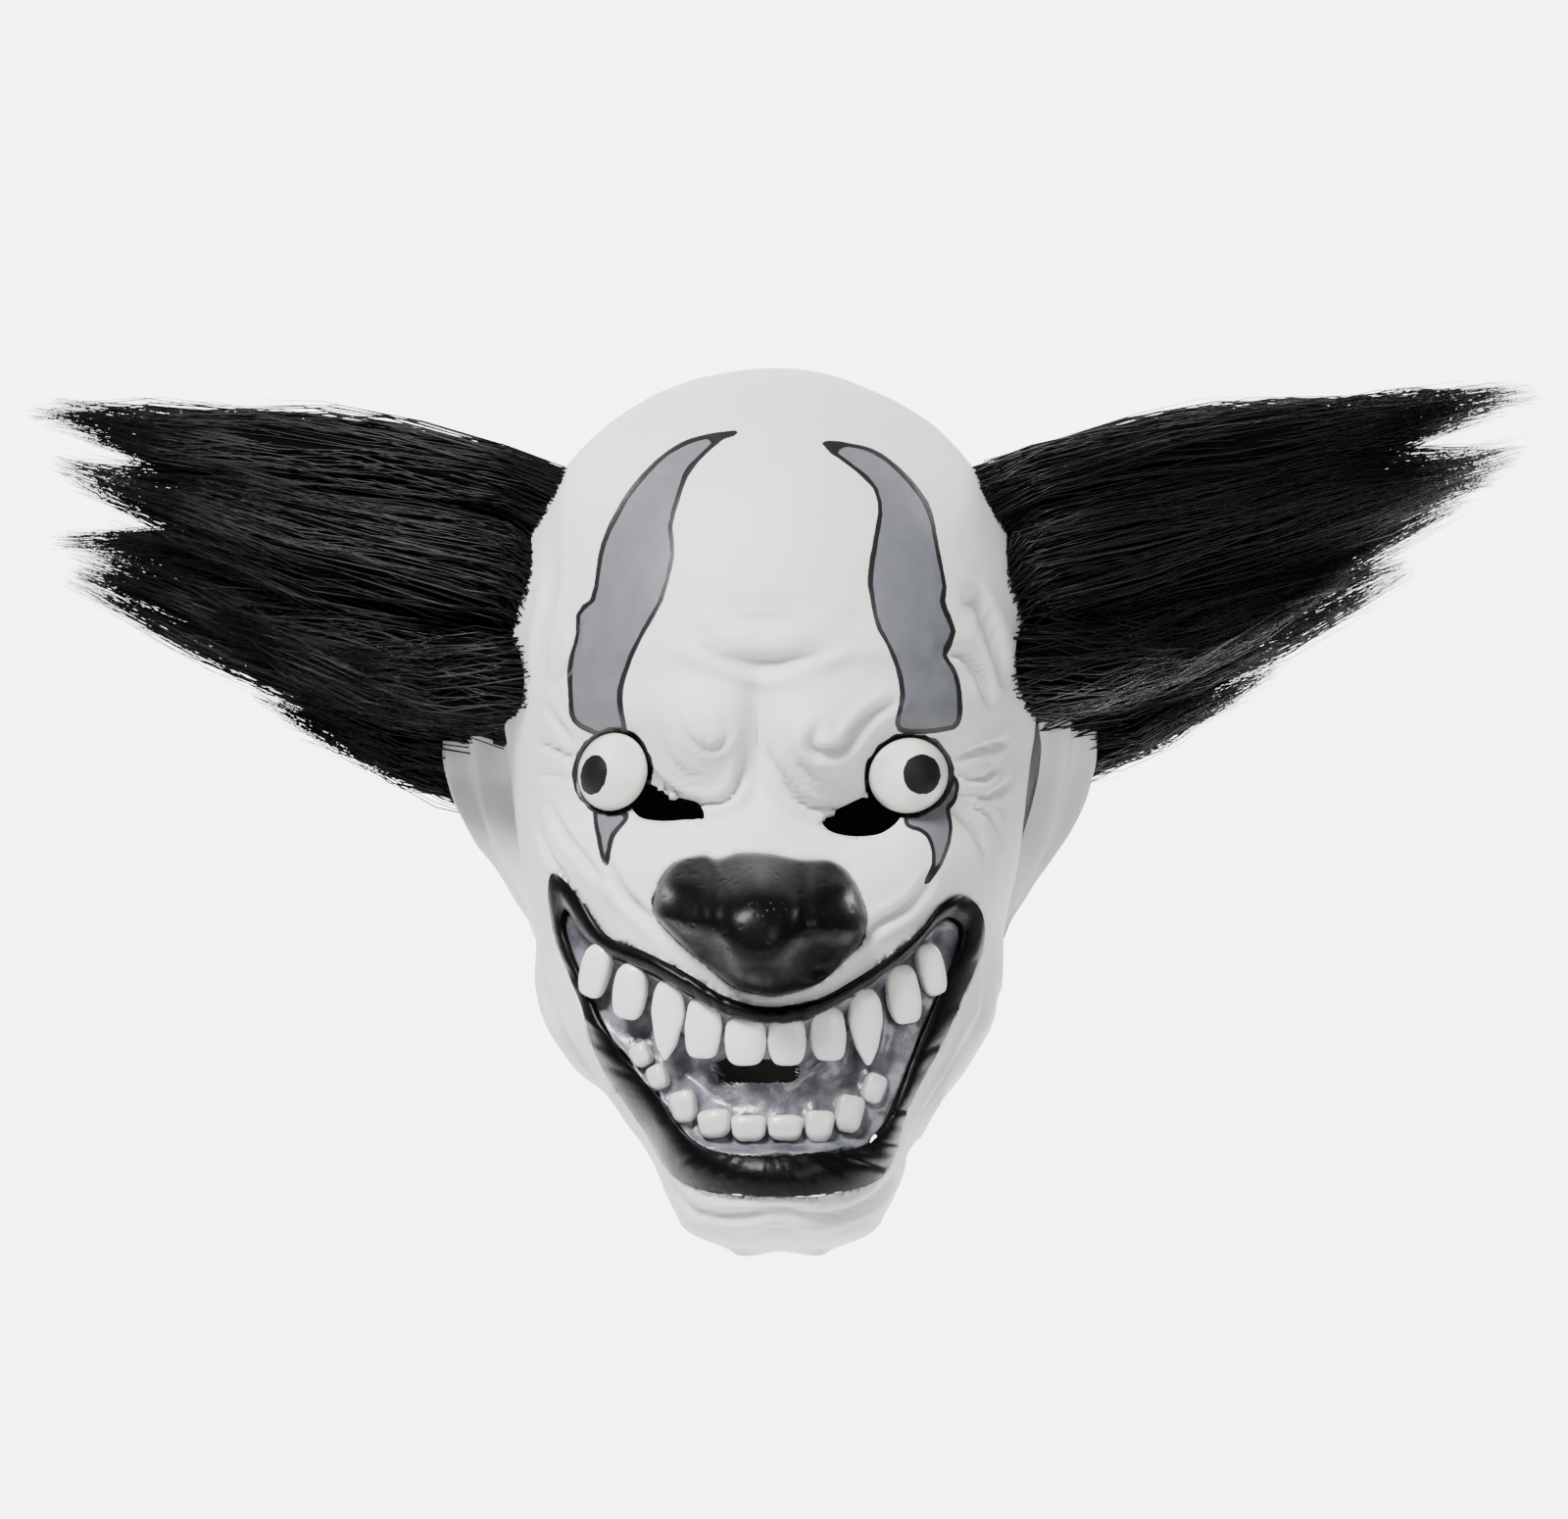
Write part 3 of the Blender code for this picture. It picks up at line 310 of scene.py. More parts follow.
# Holes of the head. Eyes have their middle, width, height and lean; lips have shares of the mouth's size.
EYE_WIDTH = 26.2 * MM
EYE_HEIGHT = 26.8 * MM
EYES = {
    "right": (-0.565, 0.4650, 0.93, 1.02, 20),
    "left": (0.502, 0.4690, 1.07, 0.97, -15),
}
PEEPHOLES = {
    "right": ((-43, 143), (-32, 148.5), (-24, 151), (-21.8, 156), (-28, 156.5), (-36.5, 157), (-44, 155.5), (-47, 150)),
    "left": ((38, 147), (24, 152.5), (18, 156), (20, 160), (27, 162), (36.5, 161.5), (43, 157.5), (45, 152)),
}
NOSE_WIDTH = 73.3 * MM
NOSE_HEIGHT = 47.8 * MM
NOSE_PLACE = (-0.0365, 0.634)
NOSE_OUTLINE = (
    (-0.495, 0.10),
    (-0.460, 0.30),
    (-0.385, 0.44),
    (-0.26, 0.49),
    (-0.19, 0.46),
    (-0.10, 0.50),
    (0.05, 0.495),
    (0.20, 0.455),
    (0.34, 0.445),
    (0.44, 0.31),
    (0.50, 0.05),
    (0.475, -0.12),
    (0.40, -0.25),
    (0.28, -0.41),
    (0.14, -0.485),
    (0.04, -0.50),
    (-0.10, -0.45),
    (-0.20, -0.34),
    (-0.33, -0.18),
    (-0.44, -0.02),
)
MOUTH_WIDTH = 148.2 * MM
MOUTH_HEIGHT = 107.6 * MM
MOUTH_PLACE = (-0.0120, 0.755)
MOUTH_HUB = (0.0, -0.28)
LIPS = (
    (-0.485, 0.495, -0.455, 0.375),
    (-0.430, 0.425, -0.420, 0.310),
    (-0.365, 0.305, -0.370, 0.250),
    (-0.275, 0.255, -0.275, 0.195),
    (-0.180, 0.190, -0.180, 0.125),
    (-0.095, 0.120, -0.095, 0.065),
    (0.000, 0.085, 0.005, 0.030),
    (0.110, 0.105, 0.110, 0.055),
    (0.215, 0.180, 0.210, 0.125),
    (0.295, 0.255, 0.285, 0.200),
    (0.355, 0.325, 0.345, 0.265),
    (0.400, 0.400, 0.395, 0.335),
    (0.450, 0.425, 0.425, 0.350),
    (0.495, 0.375, 0.448, 0.315),
    (0.500, 0.260, 0.435, 0.235),
    (0.450, 0.095, 0.395, 0.120),
    (0.393, -0.065, 0.345, -0.035),
    (0.320, -0.250, 0.295, -0.215),
    (0.300, -0.365, 0.262, -0.300),
    (0.255, -0.460, 0.212, -0.345),
    (0.130, -0.500, 0.120, -0.360),
    (0.000, -0.500, 0.005, -0.368),
    (-0.140, -0.490, -0.105, -0.360),
    (-0.225, -0.430, -0.180, -0.305),
    (-0.280, -0.305, -0.235, -0.200),
    (-0.335, -0.200, -0.295, -0.110),
    (-0.395, -0.070, -0.365, 0.010),
    (-0.420, 0.060, -0.400, 0.110),
    (-0.455, 0.180, -0.432, 0.200),
    (-0.490, 0.305, -0.458, 0.285),
    (-0.502, 0.430, -0.468, 0.345),
)


def mouth_place(x, z):
    return place_on_head(*MOUTH_PLACE) + np.array([x * MOUTH_WIDTH, z * MOUTH_HEIGHT])


def ellipse(middle, width, height, lean, steps=64):
    turn = radians(lean)
    angles = np.linspace(0, 2 * pi, steps, endpoint=False)
    x = np.cos(angles) * width / 2
    z = np.sin(angles) * height / 2
    return middle + np.stack([x * cos(turn) + z * sin(turn), z * cos(turn) - x * sin(turn)], axis=1)


def eye_outline(row, grow=0.0):
    across, drop, width, height, lean = row
    return ellipse(place_on_head(across, drop), width * EYE_WIDTH + grow, height * EYE_HEIGHT + grow, lean)


lip_rows = spline(LIPS, 240)
lip_outer = np.array([mouth_place(row[0], row[1]) for row in lip_rows])
lip_inner = np.array([mouth_place(row[2], row[3]) for row in lip_rows])
nose_middle = place_on_head(*NOSE_PLACE)
nose_outline = nose_middle + spline(NOSE_OUTLINE, 160) * np.array([NOSE_WIDTH, NOSE_HEIGHT])
peephole_outlines = {
    name: spline([(x * MM, WALL - drop * MM) for x, drop in points], 48) for name, points in PEEPHOLES.items()
}
holes = [lip_outer, nose_outline, *peephole_outlines.values()]
holes += [eye_outline(row) for row in EYES.values()]

bm = bmesh.new()
bmesh.ops.create_grid(bm, x_segments=HEAD_COLUMNS, y_segments=HEAD_ROWS, size=1)
flat = read_verts(bm)
share = np.abs(flat[:, 0])
turn = np.where(share < FRONT_SHARE, 0.5 * share / FRONT_SHARE, 0.5 + 0.5 * (share - FRONT_SHARE) / (1 - FRONT_SHARE))
angle = np.sign(flat[:, 0]) * pi * turn
down = (1 - flat[:, 1]) / 2
rim = HEAD_HEIGHT * between(RIM, RIM_COLUMNS, "turn", "drop", turn)
on_dome = DOME_HEIGHT * (1 - np.cos(pi / 2 * np.clip(down / DOME_SHARE, 0, 1)))
below = DOME_HEIGHT + (rim - DOME_HEIGHT) * np.clip((down - DOME_SHARE) / (1 - DOME_SHARE), 0, 1)
drop = np.where(down < DOME_SHARE, on_dome, below)
width, shift, axis, front, back, corner = section(drop)
power = 2 / corner
x = shift + width * np.sign(np.sin(angle)) * np.abs(np.sin(angle)) ** power
bow = np.abs(np.cos(angle)) ** power
y = np.where(np.cos(angle) > 0, axis - front * bow - folds(x, drop) * bow**0.5, axis + back * bow)
write_verts(bm, np.stack([x, y, WALL - drop], axis=1))
bmesh.ops.remove_doubles(bm, verts=bm.verts, dist=0.02 * MM)
bmesh.ops.recalc_face_normals(bm, faces=bm.faces)
if max(bm.faces, key=lambda face: face.calc_center_median().z).normal.z < 0:
    bmesh.ops.reverse_faces(bm, faces=bm.faces)
bm.normal_update()


def lumps(place):
    """Small unevenness of cast latex, in metres."""
    broad = noise.noise(place * 45) * 0.55
    middle = noise.noise(place * 130 + Vector((3, 1, 7))) * 0.22
    return (broad + middle) * MM


places = read_verts(bm)
normals = np.array([vert.normal for vert in bm.verts])
ahead = np.clip((0.02 - places[:, 1]) / 0.03, 0, 1)
height = relief(places[:, 0], places[:, 2], ahead) + np.array([lumps(vert.co) for vert in bm.verts])
write_verts(bm, places + normals * height[:, None])

middles = np.array([face.calc_center_median() for face in bm.faces])
cut = np.zeros(len(middles), dtype=bool)
for outline in holes:
    cut |= (signed_distance(outline, middles[:, 0], middles[:, 2]) < 0) & (middles[:, 1] < -0.03)
doomed = [face for face, gone in zip(bm.faces, cut) if gone]
bmesh.ops.delete(bm, geom=doomed, context="FACES")
for vert in [vert for vert in bm.verts if vert.is_boundary and vert.co.y < -0.03]:
    place = np.array([[vert.co.x, vert.co.z]])
    for outline in holes:
        gaps = np.hypot(*(outline - place).T)
        if gaps.min() < 2.2 * MM:
            x, z = outline[gaps.argmin()]
            lift = vert.co.y - float(face_y(vert.co.x, vert.co.z))
            vert.co = (x, float(face_y(x, z)) + lift, z)
            break

# Paint of the head, as outlines in x and drop in millimetres: a grey stripe over each eye and a tear below
STRIPES = {
    "right_stripe": (
        (-11.5, 25), (-20, 26), (-30, 29), (-39.5, 36), (-49, 48), (-56, 62), (-58, 72), (-59.5, 82),
        (-64.5, 85), (-65, 94), (-67.5, 103), (-67.5, 112), (-66, 123), (-56, 128), (-49, 128), (-50.5, 116),
        (-49, 108), (-46, 100), (-42, 92), (-37, 83.5), (-34, 74), (-32.5, 65.5), (-33.5, 57.5), (-31, 48),
        (-28, 39), (-23, 33), (-17.5, 28),
    ),
    "left_stripe": (
        (18.5, 29), (26.5, 29), (36, 31.5), (44, 37.5), (51, 45.5), (54.5, 52), (56.5, 61.5), (58, 70),
        (59.5, 78), (58.5, 85), (62, 89.5), (62, 96), (59, 100), (63, 107), (64.5, 115), (64, 123.5), (59, 126),
        (44, 126), (45, 115), (43.5, 106), (40.5, 98), (36.5, 90.5), (34.5, 79.5), (34, 74.5), (36, 62),
        (37.5, 53.5), (36.5, 45), (30.5, 38.5), (24, 33.5),
    ),
    "right_tear": ((-58.5, 153), (-48, 155), (-53, 162), (-55, 171.5), (-57.5, 163)),
    "left_tear": (
        (46, 157), (51, 160), (54, 162.5), (55.5, 168), (55, 173), (53, 177.5), (56, 174), (58.5, 170), (61, 163),
        (61.5, 158), (60.5, 153), (63, 149.5), (63.5, 143.5), (58, 140), (50, 146),
    ),
}


def linear_outline(points, steps=6):
    """An outline through points with its sharp tips kept, in metres."""
    ring = np.array([(x * MM, WALL - drop * MM) for x, drop in points])
    return np.vstack([ring[i] + (ring[(i + 1) % len(ring)] - ring[i]) * np.linspace(0, 1, steps, endpoint=False)[:, None] for i in range(len(ring))])


def add_attribute(bm, name, values):
    layer = bm.verts.layers.float.new(name)
    for vert, value in zip(bm.verts, values):
        vert[layer] = value


places = read_verts(bm)
behind = np.where(places[:, 1] > -0.02, 100.0, 0.0)
stripe = np.min([signed_distance(spline([(px * MM, WALL - d * MM) for px, d in points], 4 * len(points)), places[:, 0], places[:, 2]) for points in STRIPES.values()], axis=0)
eye_gap = np.min([signed_distance(eye_outline(row), places[:, 0], places[:, 2]) for row in EYES.values()], axis=0)
crease = relief(places[:, 0], places[:, 2], np.clip((0.02 - places[:, 1]) / 0.03, 0, 1))
add_attribute(bm, "stripe", stripe / MM + behind)
add_attribute(bm, "eye_gap", eye_gap / MM + behind)
add_attribute(bm, "crease", crease / MM)
head = new_piece("latex_head", bm)
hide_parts("mask_shell")


class Wire:
    """A socket of a material. Arithmetic on it adds Math nodes, and node() adds any other kind."""

    def __init__(self, tree, socket=None):
        self.tree = tree
        self.socket = socket

    def node(self, kind, settings=None, sockets=None, output=0):
        made = self.tree.nodes.new(kind)
        settings = dict(settings or {})
        for place, colour in settings.pop("stops", ()):
            stops = made.color_ramp.elements
            stop = stops[0] if place == 0 else stops[-1] if place == 1 else stops.new(place)
            stop.color = (*colour, 1)
        for name, value in settings.items():
            setattr(made, name, value)
        for name, value in (sockets or {}).items():
            if isinstance(value, Wire):
                self.tree.links.new(value.socket, made.inputs[name])
            else:
                made.inputs[name].default_value = value
        return Wire(self.tree, made.outputs[output])

    def maths(self, operation, first, second=0.0):
        return self.node("ShaderNodeMath", {"operation": operation}, {0: first, 1: second})

    def __add__(self, other):
        return self.maths("ADD", self, other)

    def __sub__(self, other):
        return self.maths("SUBTRACT", self, other)

    def __rsub__(self, other):
        return self.maths("SUBTRACT", other, self)

    def __mul__(self, other):
        return self.maths("MULTIPLY", self, other)

    __radd__ = __add__
    __rmul__ = __mul__

    def step(self, low, high):
        """Goes smoothly from 0 at low to 1 at high."""
        settings = {"interpolation_type": "SMOOTHSTEP"}
        return self.node("ShaderNodeMapRange", settings, {"Value": self, "From Min": low, "From Max": high})

    def mix(self, first, second):
        """Goes from the first colour at 0 to the second at 1."""
        sockets = {"Factor": self, 6: first, 7: second}
        return self.node("ShaderNodeMix", {"data_type": "RGBA"}, sockets, output=2)

    def noise(self, scale, detail=3.0, roughness=0.5, output=0):
        sockets = {"Vector": self, "Scale": scale, "Detail": detail, "Roughness": roughness}
        return self.node("ShaderNodeTexNoise", {}, sockets, output)

    def attribute(self, name):
        return self.node("ShaderNodeAttribute", {"attribute_name": name}, output=2)

    def bump(self, distance, strength=1.0, normal=None):
        sockets = {"Height": self, "Distance": distance, "Strength": strength}
        if normal:
            sockets["Normal"] = normal
        return self.node("ShaderNodeBump", {}, sockets)


def grey(value):
    return (value, value, value, 1)


def new_material(name, **fixed):
    """A material with its shader, its object coordinates and the sockets that stay the same all over."""
    material = bpy.data.materials.new(name)
    material.use_nodes = True
    tree = material.node_tree
    shader = tree.nodes["Principled BSDF"]
    for socket, value in fixed.items():
        shader.inputs[socket.replace("_", " ")].default_value = value
    place = Wire(tree).node("ShaderNodeTexCoord", output=3)
    return material, shader, place


def connect(shader, **wires):
    for socket, wire in wires.items():
        wire.tree.links.new(wire.socket, shader.inputs[socket.replace("_", " ")])


latex, shader, place = new_material("white_latex", Specular_IOR_Level=0.45)
mottle = place.noise(38, 4, 0.6)
brush = place.noise(210, 3, 0.6)
pores = place.noise(1100, 2, 0.6)
stripe = place.attribute("stripe")
edge = place.noise(170, 2, 0.5) * 1.5 - 0.75
in_stripe = 1 - (stripe + edge * 0.4).step(-0.1, 0.1)
line_width = place.noise(60, 2) * 1.0 + 0.35
line = 1 - (stripe.maths("ABSOLUTE", stripe + edge * 0.35) - line_width).step(-0.12, 0.12)
eye_gap = place.attribute("eye_gap") + edge * 1.1
ring = 1 - (eye_gap - (place.noise(75, 2) * 2.6 + 0.1)).step(-0.15, 0.15)
# The white goes darker, towards grey-brown, in the deeper creases of the skin.
folded = place.attribute("crease").step(-0.3, -3.0)
white = mottle.mix((0.76, 0.745, 0.73, 1), (0.83, 0.825, 0.815, 1))
white = (folded * 0.6).mix(white, (0.50, 0.475, 0.46, 1))
painted_grey = brush.mix((0.115, 0.120, 0.136, 1), (0.155, 0.161, 0.178, 1))
colour = in_stripe.mix(white, painted_grey)
black_paint = place.maths("MAXIMUM", line, ring)
colour = black_paint.mix(colour, (0.012, 0.012, 0.013, 1))
relief_height = pores * 0.25 + brush * 0.6 + mottle * 0.8
connect(
    shader,
    Base_Color=colour,
    Roughness=0.50 + brush * 0.12 - in_stripe * 0.08 - black_paint * 0.15,
    Normal=relief_height.bump(0.35 * MM, 0.5),
)

# The inside of the wall is coloured near black: painted shade for the dark hollow seen through the holes.
shaded_inside, shader, place = new_material("inside_painted_shade", Roughness=0.75)
connect(shader, Base_Color=place.noise(30, 3).mix((0.010, 0.010, 0.010, 1), (0.022, 0.021, 0.020, 1)))
head.data.materials.append(latex)
head.data.materials.append(shaded_inside)
wall = head.modifiers.new("Wall", "SOLIDIFY")
wall.thickness = WALL
wall.offset = -1
wall.material_offset = 1
wall.material_offset_rim = 0


# Each ear is a leaf of the same latex, cast in one with the head. Its rim rolls forward, and its lower
# end runs into the jaw.
EAR_HEIGHT = 86 * MM
EAR_WIDTH = 36 * MM
EAR_THICKNESS = 3.6 * MM
EAR_RELIEF = 4.6 * MM
EAR_PLACE = (0.875, 0.02, 0.372)
EAR_COLUMNS = ("drop", "root", "width", "open")
EAR_ROWS = (
    (0.00, 0.30, 0.45, 30),
    (0.06, 0.10, 0.84, 38),
    (0.22, 0.02, 1.02, 44),
    (0.42, 0.00, 1.00, 42),
    (0.60, 0.02, 0.82, 36),
    (0.74, 0.06, 0.58, 28),
    (0.88, 0.06, 0.48, 20),
    (1.00, 0.12, 0.28, 14),
)
# Across the ear from its root to its rim: the height of the hollow, the inner fold, the groove and the rim
EAR_PROFILE = ((0.00, 0.0), (0.16, -1.0), (0.36, -0.9), (0.54, 0.75), (0.68, 0.1), (0.78, -0.2), (0.92, 1.0), (1.00, 0.7))
EAR_ACROSS = 44
EAR_DOWN = 70

for name, side in (("right", -1), ("left", 1)):
    bm = bmesh.new()
    bmesh.ops.create_grid(bm, x_segments=2 * EAR_ACROSS, y_segments=EAR_DOWN, size=1)
    flat = read_verts(bm)
    around = (flat[:, 0] + 1) / 2
    drop = (1 - flat[:, 1]) / 2
    share = 1 - np.abs(2 * around - 1)
    face = np.where(around < 0.5, 1.0, -1.0)
    round_off = np.sin(pi * np.clip(drop, 0.002, 0.998)) ** 0.35 * np.sin(pi * np.clip(0.5 + share / 2, 0, 0.9999)) ** 0.4
    turn = np.radians(between(EAR_ROWS, EAR_COLUMNS, "drop", "open", drop))
    z = WALL - EAR_PLACE[2] * HEAD_HEIGHT - drop * EAR_HEIGHT
    width, shift, axis, front, back, corner = section(WALL - z)
    height = between(EAR_PROFILE, ("share", "height"), "share", "height", share)
    wave = 0.25 * np.sin(9 * drop + 3 * share)
    lift = (height + wave * np.sin(pi * share)) * EAR_RELIEF * np.sin(pi * np.clip(drop, 0.06, 0.94)) ** 0.5
    lift = lift + face * round_off * EAR_THICKNESS / 2
    root = between(EAR_ROWS, EAR_COLUMNS, "drop", "root", drop)
    wide = between(EAR_ROWS, EAR_COLUMNS, "drop", "width", drop)
    along = (root + share * wide) * EAR_WIDTH
    x = side * (width - 2 * WALL) + shift + side * (np.sin(turn) * along + np.cos(turn) * lift)
    y = axis + EAR_PLACE[1] * BACK_DEPTH + np.cos(turn) * along - np.sin(turn) * lift
    write_verts(bm, np.stack([x, y, z], axis=1))
    bmesh.ops.remove_doubles(bm, verts=bm.verts, dist=0.05 * MM)
    bmesh.ops.holes_fill(bm, edges=[edge for edge in bm.edges if edge.is_boundary], sides=0)
    bmesh.ops.recalc_face_normals(bm, faces=bm.faces)
    for vert in bm.verts:
        vert.co += vert.normal * noise.noise(vert.co * 120) * 0.4 * MM
    add_attribute(bm, "stripe", np.full(len(bm.verts), 100.0))
    add_attribute(bm, "eye_gap", np.full(len(bm.verts), 100.0))
    ear = new_piece(f"latex_ear_{name}", bm)
    ear.data.materials.append(latex)
    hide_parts("mask_shell")


# The eyeballs are hollow domes, painted cream white with a black pupil and varnished. Each one is glued
# into its round socket.
EYE_BULGE = 14 * MM
# Pupils: x and drop of the middle in mm, half width and half height in mm, and lean in degrees
PUPILS = {"right": (-59.4, 141.4, 4.6, 6.9, 12), "left": (51.5, 141.2, 6.4, 6.8, 0)}

eye_gloss, shader, place = new_material("varnished_eye", Specular_IOR_Level=0.15, Coat_Roughness=0.06)
pupil = place.attribute("pupil") + place.noise(420, 2) * 0.8 - 0.4
in_pupil = 1 - pupil.step(-0.12, 0.12)
veins = place.noise(160, 5, 0.7).step(0.62, 0.80) * 0.25
cream = place.noise(70, 3).mix((0.80, 0.78, 0.71, 1), (0.88, 0.865, 0.80, 1))
cream = veins.mix(cream, (0.62, 0.58, 0.50, 1))
# The cream goes darker in a band towards the rim of the eyeball.
rim_dark = place.attribute("rim").step(0.86, 1.0)
cream = (rim_dark * 0.5).mix(cream, (0.38, 0.36, 0.32, 1))
connect(
    shader,
    Base_Color=in_pupil.mix(cream, (0.008, 0.008, 0.009, 1)),
    Roughness=0.16 + place.noise(300, 2) * 0.08 + in_pupil * 0.35,
    Coat_Weight=0.4 - in_pupil * 0.4,
    Normal=place.noise(260, 3).bump(0.15 * MM, 0.4),
)

for name, row in EYES.items():
    across, drop, width, height, lean = row
    middle = place_on_head(across, drop)
    level = float(face_y(*middle))
    bm = bmesh.new()
    bmesh.ops.create_uvsphere(bm, u_segments=72, v_segments=56, radius=1)
    bmesh.ops.rotate(bm, verts=bm.verts, cent=(0, 0, 0), matrix=Matrix.Rotation(radians(90), 3, "X"))
    behind = [vert for vert in bm.verts if vert.co.y > 0.02]
    bmesh.ops.delete(bm, geom=behind, context="VERTS")
    ball = read_verts(bm)
    turn = radians(lean)
    dx = ball[:, 0] * (width * EYE_WIDTH / 2 - 0.3 * MM)
    dz = ball[:, 2] * (height * EYE_HEIGHT / 2 - 0.3 * MM)
    share = np.clip(np.hypot(ball[:, 0], ball[:, 2]), 0, 1)
    x = middle[0] + dx * cos(turn) + dz * sin(turn)
    z = middle[1] + dz * cos(turn) - dx * sin(turn)
    y = (face_y(x, z) - 0.3 * WALL) * share**2 + level * (1 - share**2) - EYE_BULGE * np.sqrt(1 - share**2)
    write_verts(bm, np.stack([x, y, z], axis=1))
    bmesh.ops.recalc_face_normals(bm, faces=bm.faces)
    if min(bm.faces, key=lambda face: face.calc_center_median().y).normal.y > 0:
        bmesh.ops.reverse_faces(bm, faces=bm.faces)
    px, pdrop, half_wide, half_tall, lean = PUPILS[name]
    outline = ellipse(np.array([px * MM, WALL - pdrop * MM]), 2 * half_wide * MM, 2 * half_tall * MM, lean)
    add_attribute(bm, "pupil", signed_distance(outline, x, z) / MM)
    add_attribute(bm, "rim", share)
    eye = new_piece(f"eyeball_{name}", bm)
    eye.data.materials.append(eye_gloss)
    wall = eye.modifiers.new("Wall", "SOLIDIFY")
    wall.thickness = WALL
    wall.offset = -1
    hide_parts(f"eye_{name}")


# The nose is a hollow black casting with a big ball, two wings and dents for nostrils. It is glued into
# the opening of the face, and small air bells in its paint show as white pinholes.
NOSE_BULGE = 33 * MM
NOSE_LOBES = {
    "ball": (-0.01, -0.04, 0.235, 0.44, 0.62),
    "wing_right": (-0.33, 0.12, 0.17, 0.32, 0.32),
    "wing_left": (0.34, 0.10, 0.17, 0.32, 0.32),
    "groove_right": (-0.205, 0.10, 0.05, 0.36, -0.12),
    "groove_left": (0.205, 0.06, 0.05, 0.36, -0.12),
    "nostril_right": (-0.27, -0.24, 0.09, 0.14, -0.24),
    "nostril_left": (0.28, -0.28, 0.09, 0.14, -0.24),
    "bridge": (0.00, 0.00, 0.56, 0.62, 0.32),
}
NOSE_SEGMENTS = 100


def disc_grid(bm, segments):
    """A square grid pressed into a disc: its verts as a share of the way out and a turn from 0 to 1."""
    bmesh.ops.create_grid(bm, x_segments=segments, y_segments=segments, size=1)
    flat = read_verts(bm)
    u, v = flat[:, 0], flat[:, 1]
    out = np.maximum(np.abs(u), np.abs(v))
    x = u * np.sqrt(1 - v * v / 2)
    z = v * np.sqrt(1 - u * u / 2)
    return np.clip(out, 0, 1), np.arctan2(z, x) / (2 * pi) % 1


def outline_at(outline, turn, middle):
    """Where a ray from the middle at each turn crosses the outline."""
    offset = outline - middle
    angles = np.arctan2(offset[:, 1], offset[:, 0]) / (2 * pi) % 1
    order = np.argsort(angles)
    reach = np.hypot(*offset[order].T)
    radius = np.interp(turn, angles[order], reach, period=1)
    return radius * np.cos(2 * pi * turn), radius * np.sin(2 * pi * turn)


bm = bmesh.new()
share, turn = disc_grid(bm, NOSE_SEGMENTS)
dx, dz = outline_at(nose_outline, turn, nose_middle)
dx = dx * share * 0.992
dz = dz * share * 0.992
rise = np.zeros(len(share))
for across, up, reach, tall, height in NOSE_LOBES.values():
    far = ((dx / NOSE_WIDTH - across) / reach) ** 2 + ((dz / NOSE_HEIGHT - up) / tall) ** 2
    rise += height * NOSE_BULGE * np.exp(-(far**1.7 if height > 0 else far))
x = nose_middle[0] + dx
z = nose_middle[1] + dz
y = face_y(x, z) - 0.5 * WALL - rise * np.sqrt(np.clip(1 - share**5, 0, 1))
write_verts(bm, np.stack([x, y, z], axis=1))
bmesh.ops.recalc_face_normals(bm, faces=bm.faces)
if min(bm.faces, key=lambda face: face.calc_center_median().y).normal.y > 0:
    bmesh.ops.reverse_faces(bm, faces=bm.faces)
bm.normal_update()
for vert in bm.verts:
    pit = max(noise.noise(vert.co * 420) - 0.38, 0) * 0.7
    vert.co += vert.normal * (noise.noise(vert.co * 60) * 0.25 - pit) * MM
nose = new_piece("black_nose", bm)
wall = nose.modifiers.new("Wall", "SOLIDIFY")
wall.thickness = WALL
wall.offset = -1
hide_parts("nose")

black_gloss, shader, place = new_material("gloss_black_paint", Specular_IOR_Level=0.10)
cells = place.node("ShaderNodeTexVoronoi", {}, {"Vector": place, "Scale": 460.0})
seldom = place.noise(70, 2).step(0.55, 0.62)
pinhole = (1 - cells.step(0.06, 0.11)) * seldom
worn = place.noise(140, 4, 0.65)
connect(
    shader,
    Base_Color=pinhole.mix(worn.mix((0.002, 0.002, 0.0025, 1), (0.005, 0.005, 0.006, 1)), (0.30, 0.30, 0.31, 1)),
    Roughness=0.25 + worn * 0.10,
    Normal=(place.noise(330, 4, 0.6) * 0.6 - pinhole * 1.2).bump(0.35 * MM, 0.4),
)
nose.data.materials.append(black_gloss)


# The lips are a thick black roll of latex round the grin, with creases across it where the casting puckers.
LIP_RISE = 4.2 * MM
LIP_BACK = 3.0 * MM
LIP_AROUND = 520
LIP_ACROSS = 22

bm = bmesh.new()
bmesh.ops.create_grid(bm, x_segments=LIP_AROUND, y_segments=LIP_ACROSS, size=1)
flat = read_verts(bm)
around = (flat[:, 0] + 1) / 2
ring = (flat[:, 1] + 1) / 2
steps = np.linspace(0, 1, len(lip_outer) + 1)
closed_outer = np.vstack([lip_outer, lip_outer[:1]])
closed_inner = np.vstack([lip_inner, lip_inner[:1]])
edge_out = np.stack([np.interp(around, steps, closed_outer[:, axis]) for axis in (0, 1)], axis=1)
edge_in = np.stack([np.interp(around, steps, closed_inner[:, axis]) for axis in (0, 1)], axis=1)
on_front = ring < 0.8
share = np.where(on_front, ring / 0.8, 1 - (ring - 0.8) / 0.2)
share = share * 0.985 + 0.01
flat_place = edge_out + (edge_in - edge_out) * share[:, None]
x, z = flat_place.T
lower = np.clip((mouth_place(0, -0.1)[1] - z) / (0.2 * MOUTH_HEIGHT), 0, 1)
rise = (1 + 0.35 * lower) * LIP_RISE * np.sin(pi * np.clip(0.10 + 0.86 * share, 0, 1)) ** 0.7
y = face_y(x, z) - rise
y = np.where(on_front, y, face_y(x, z) + LIP_BACK)
write_verts(bm, np.stack([x, y, z], axis=1))
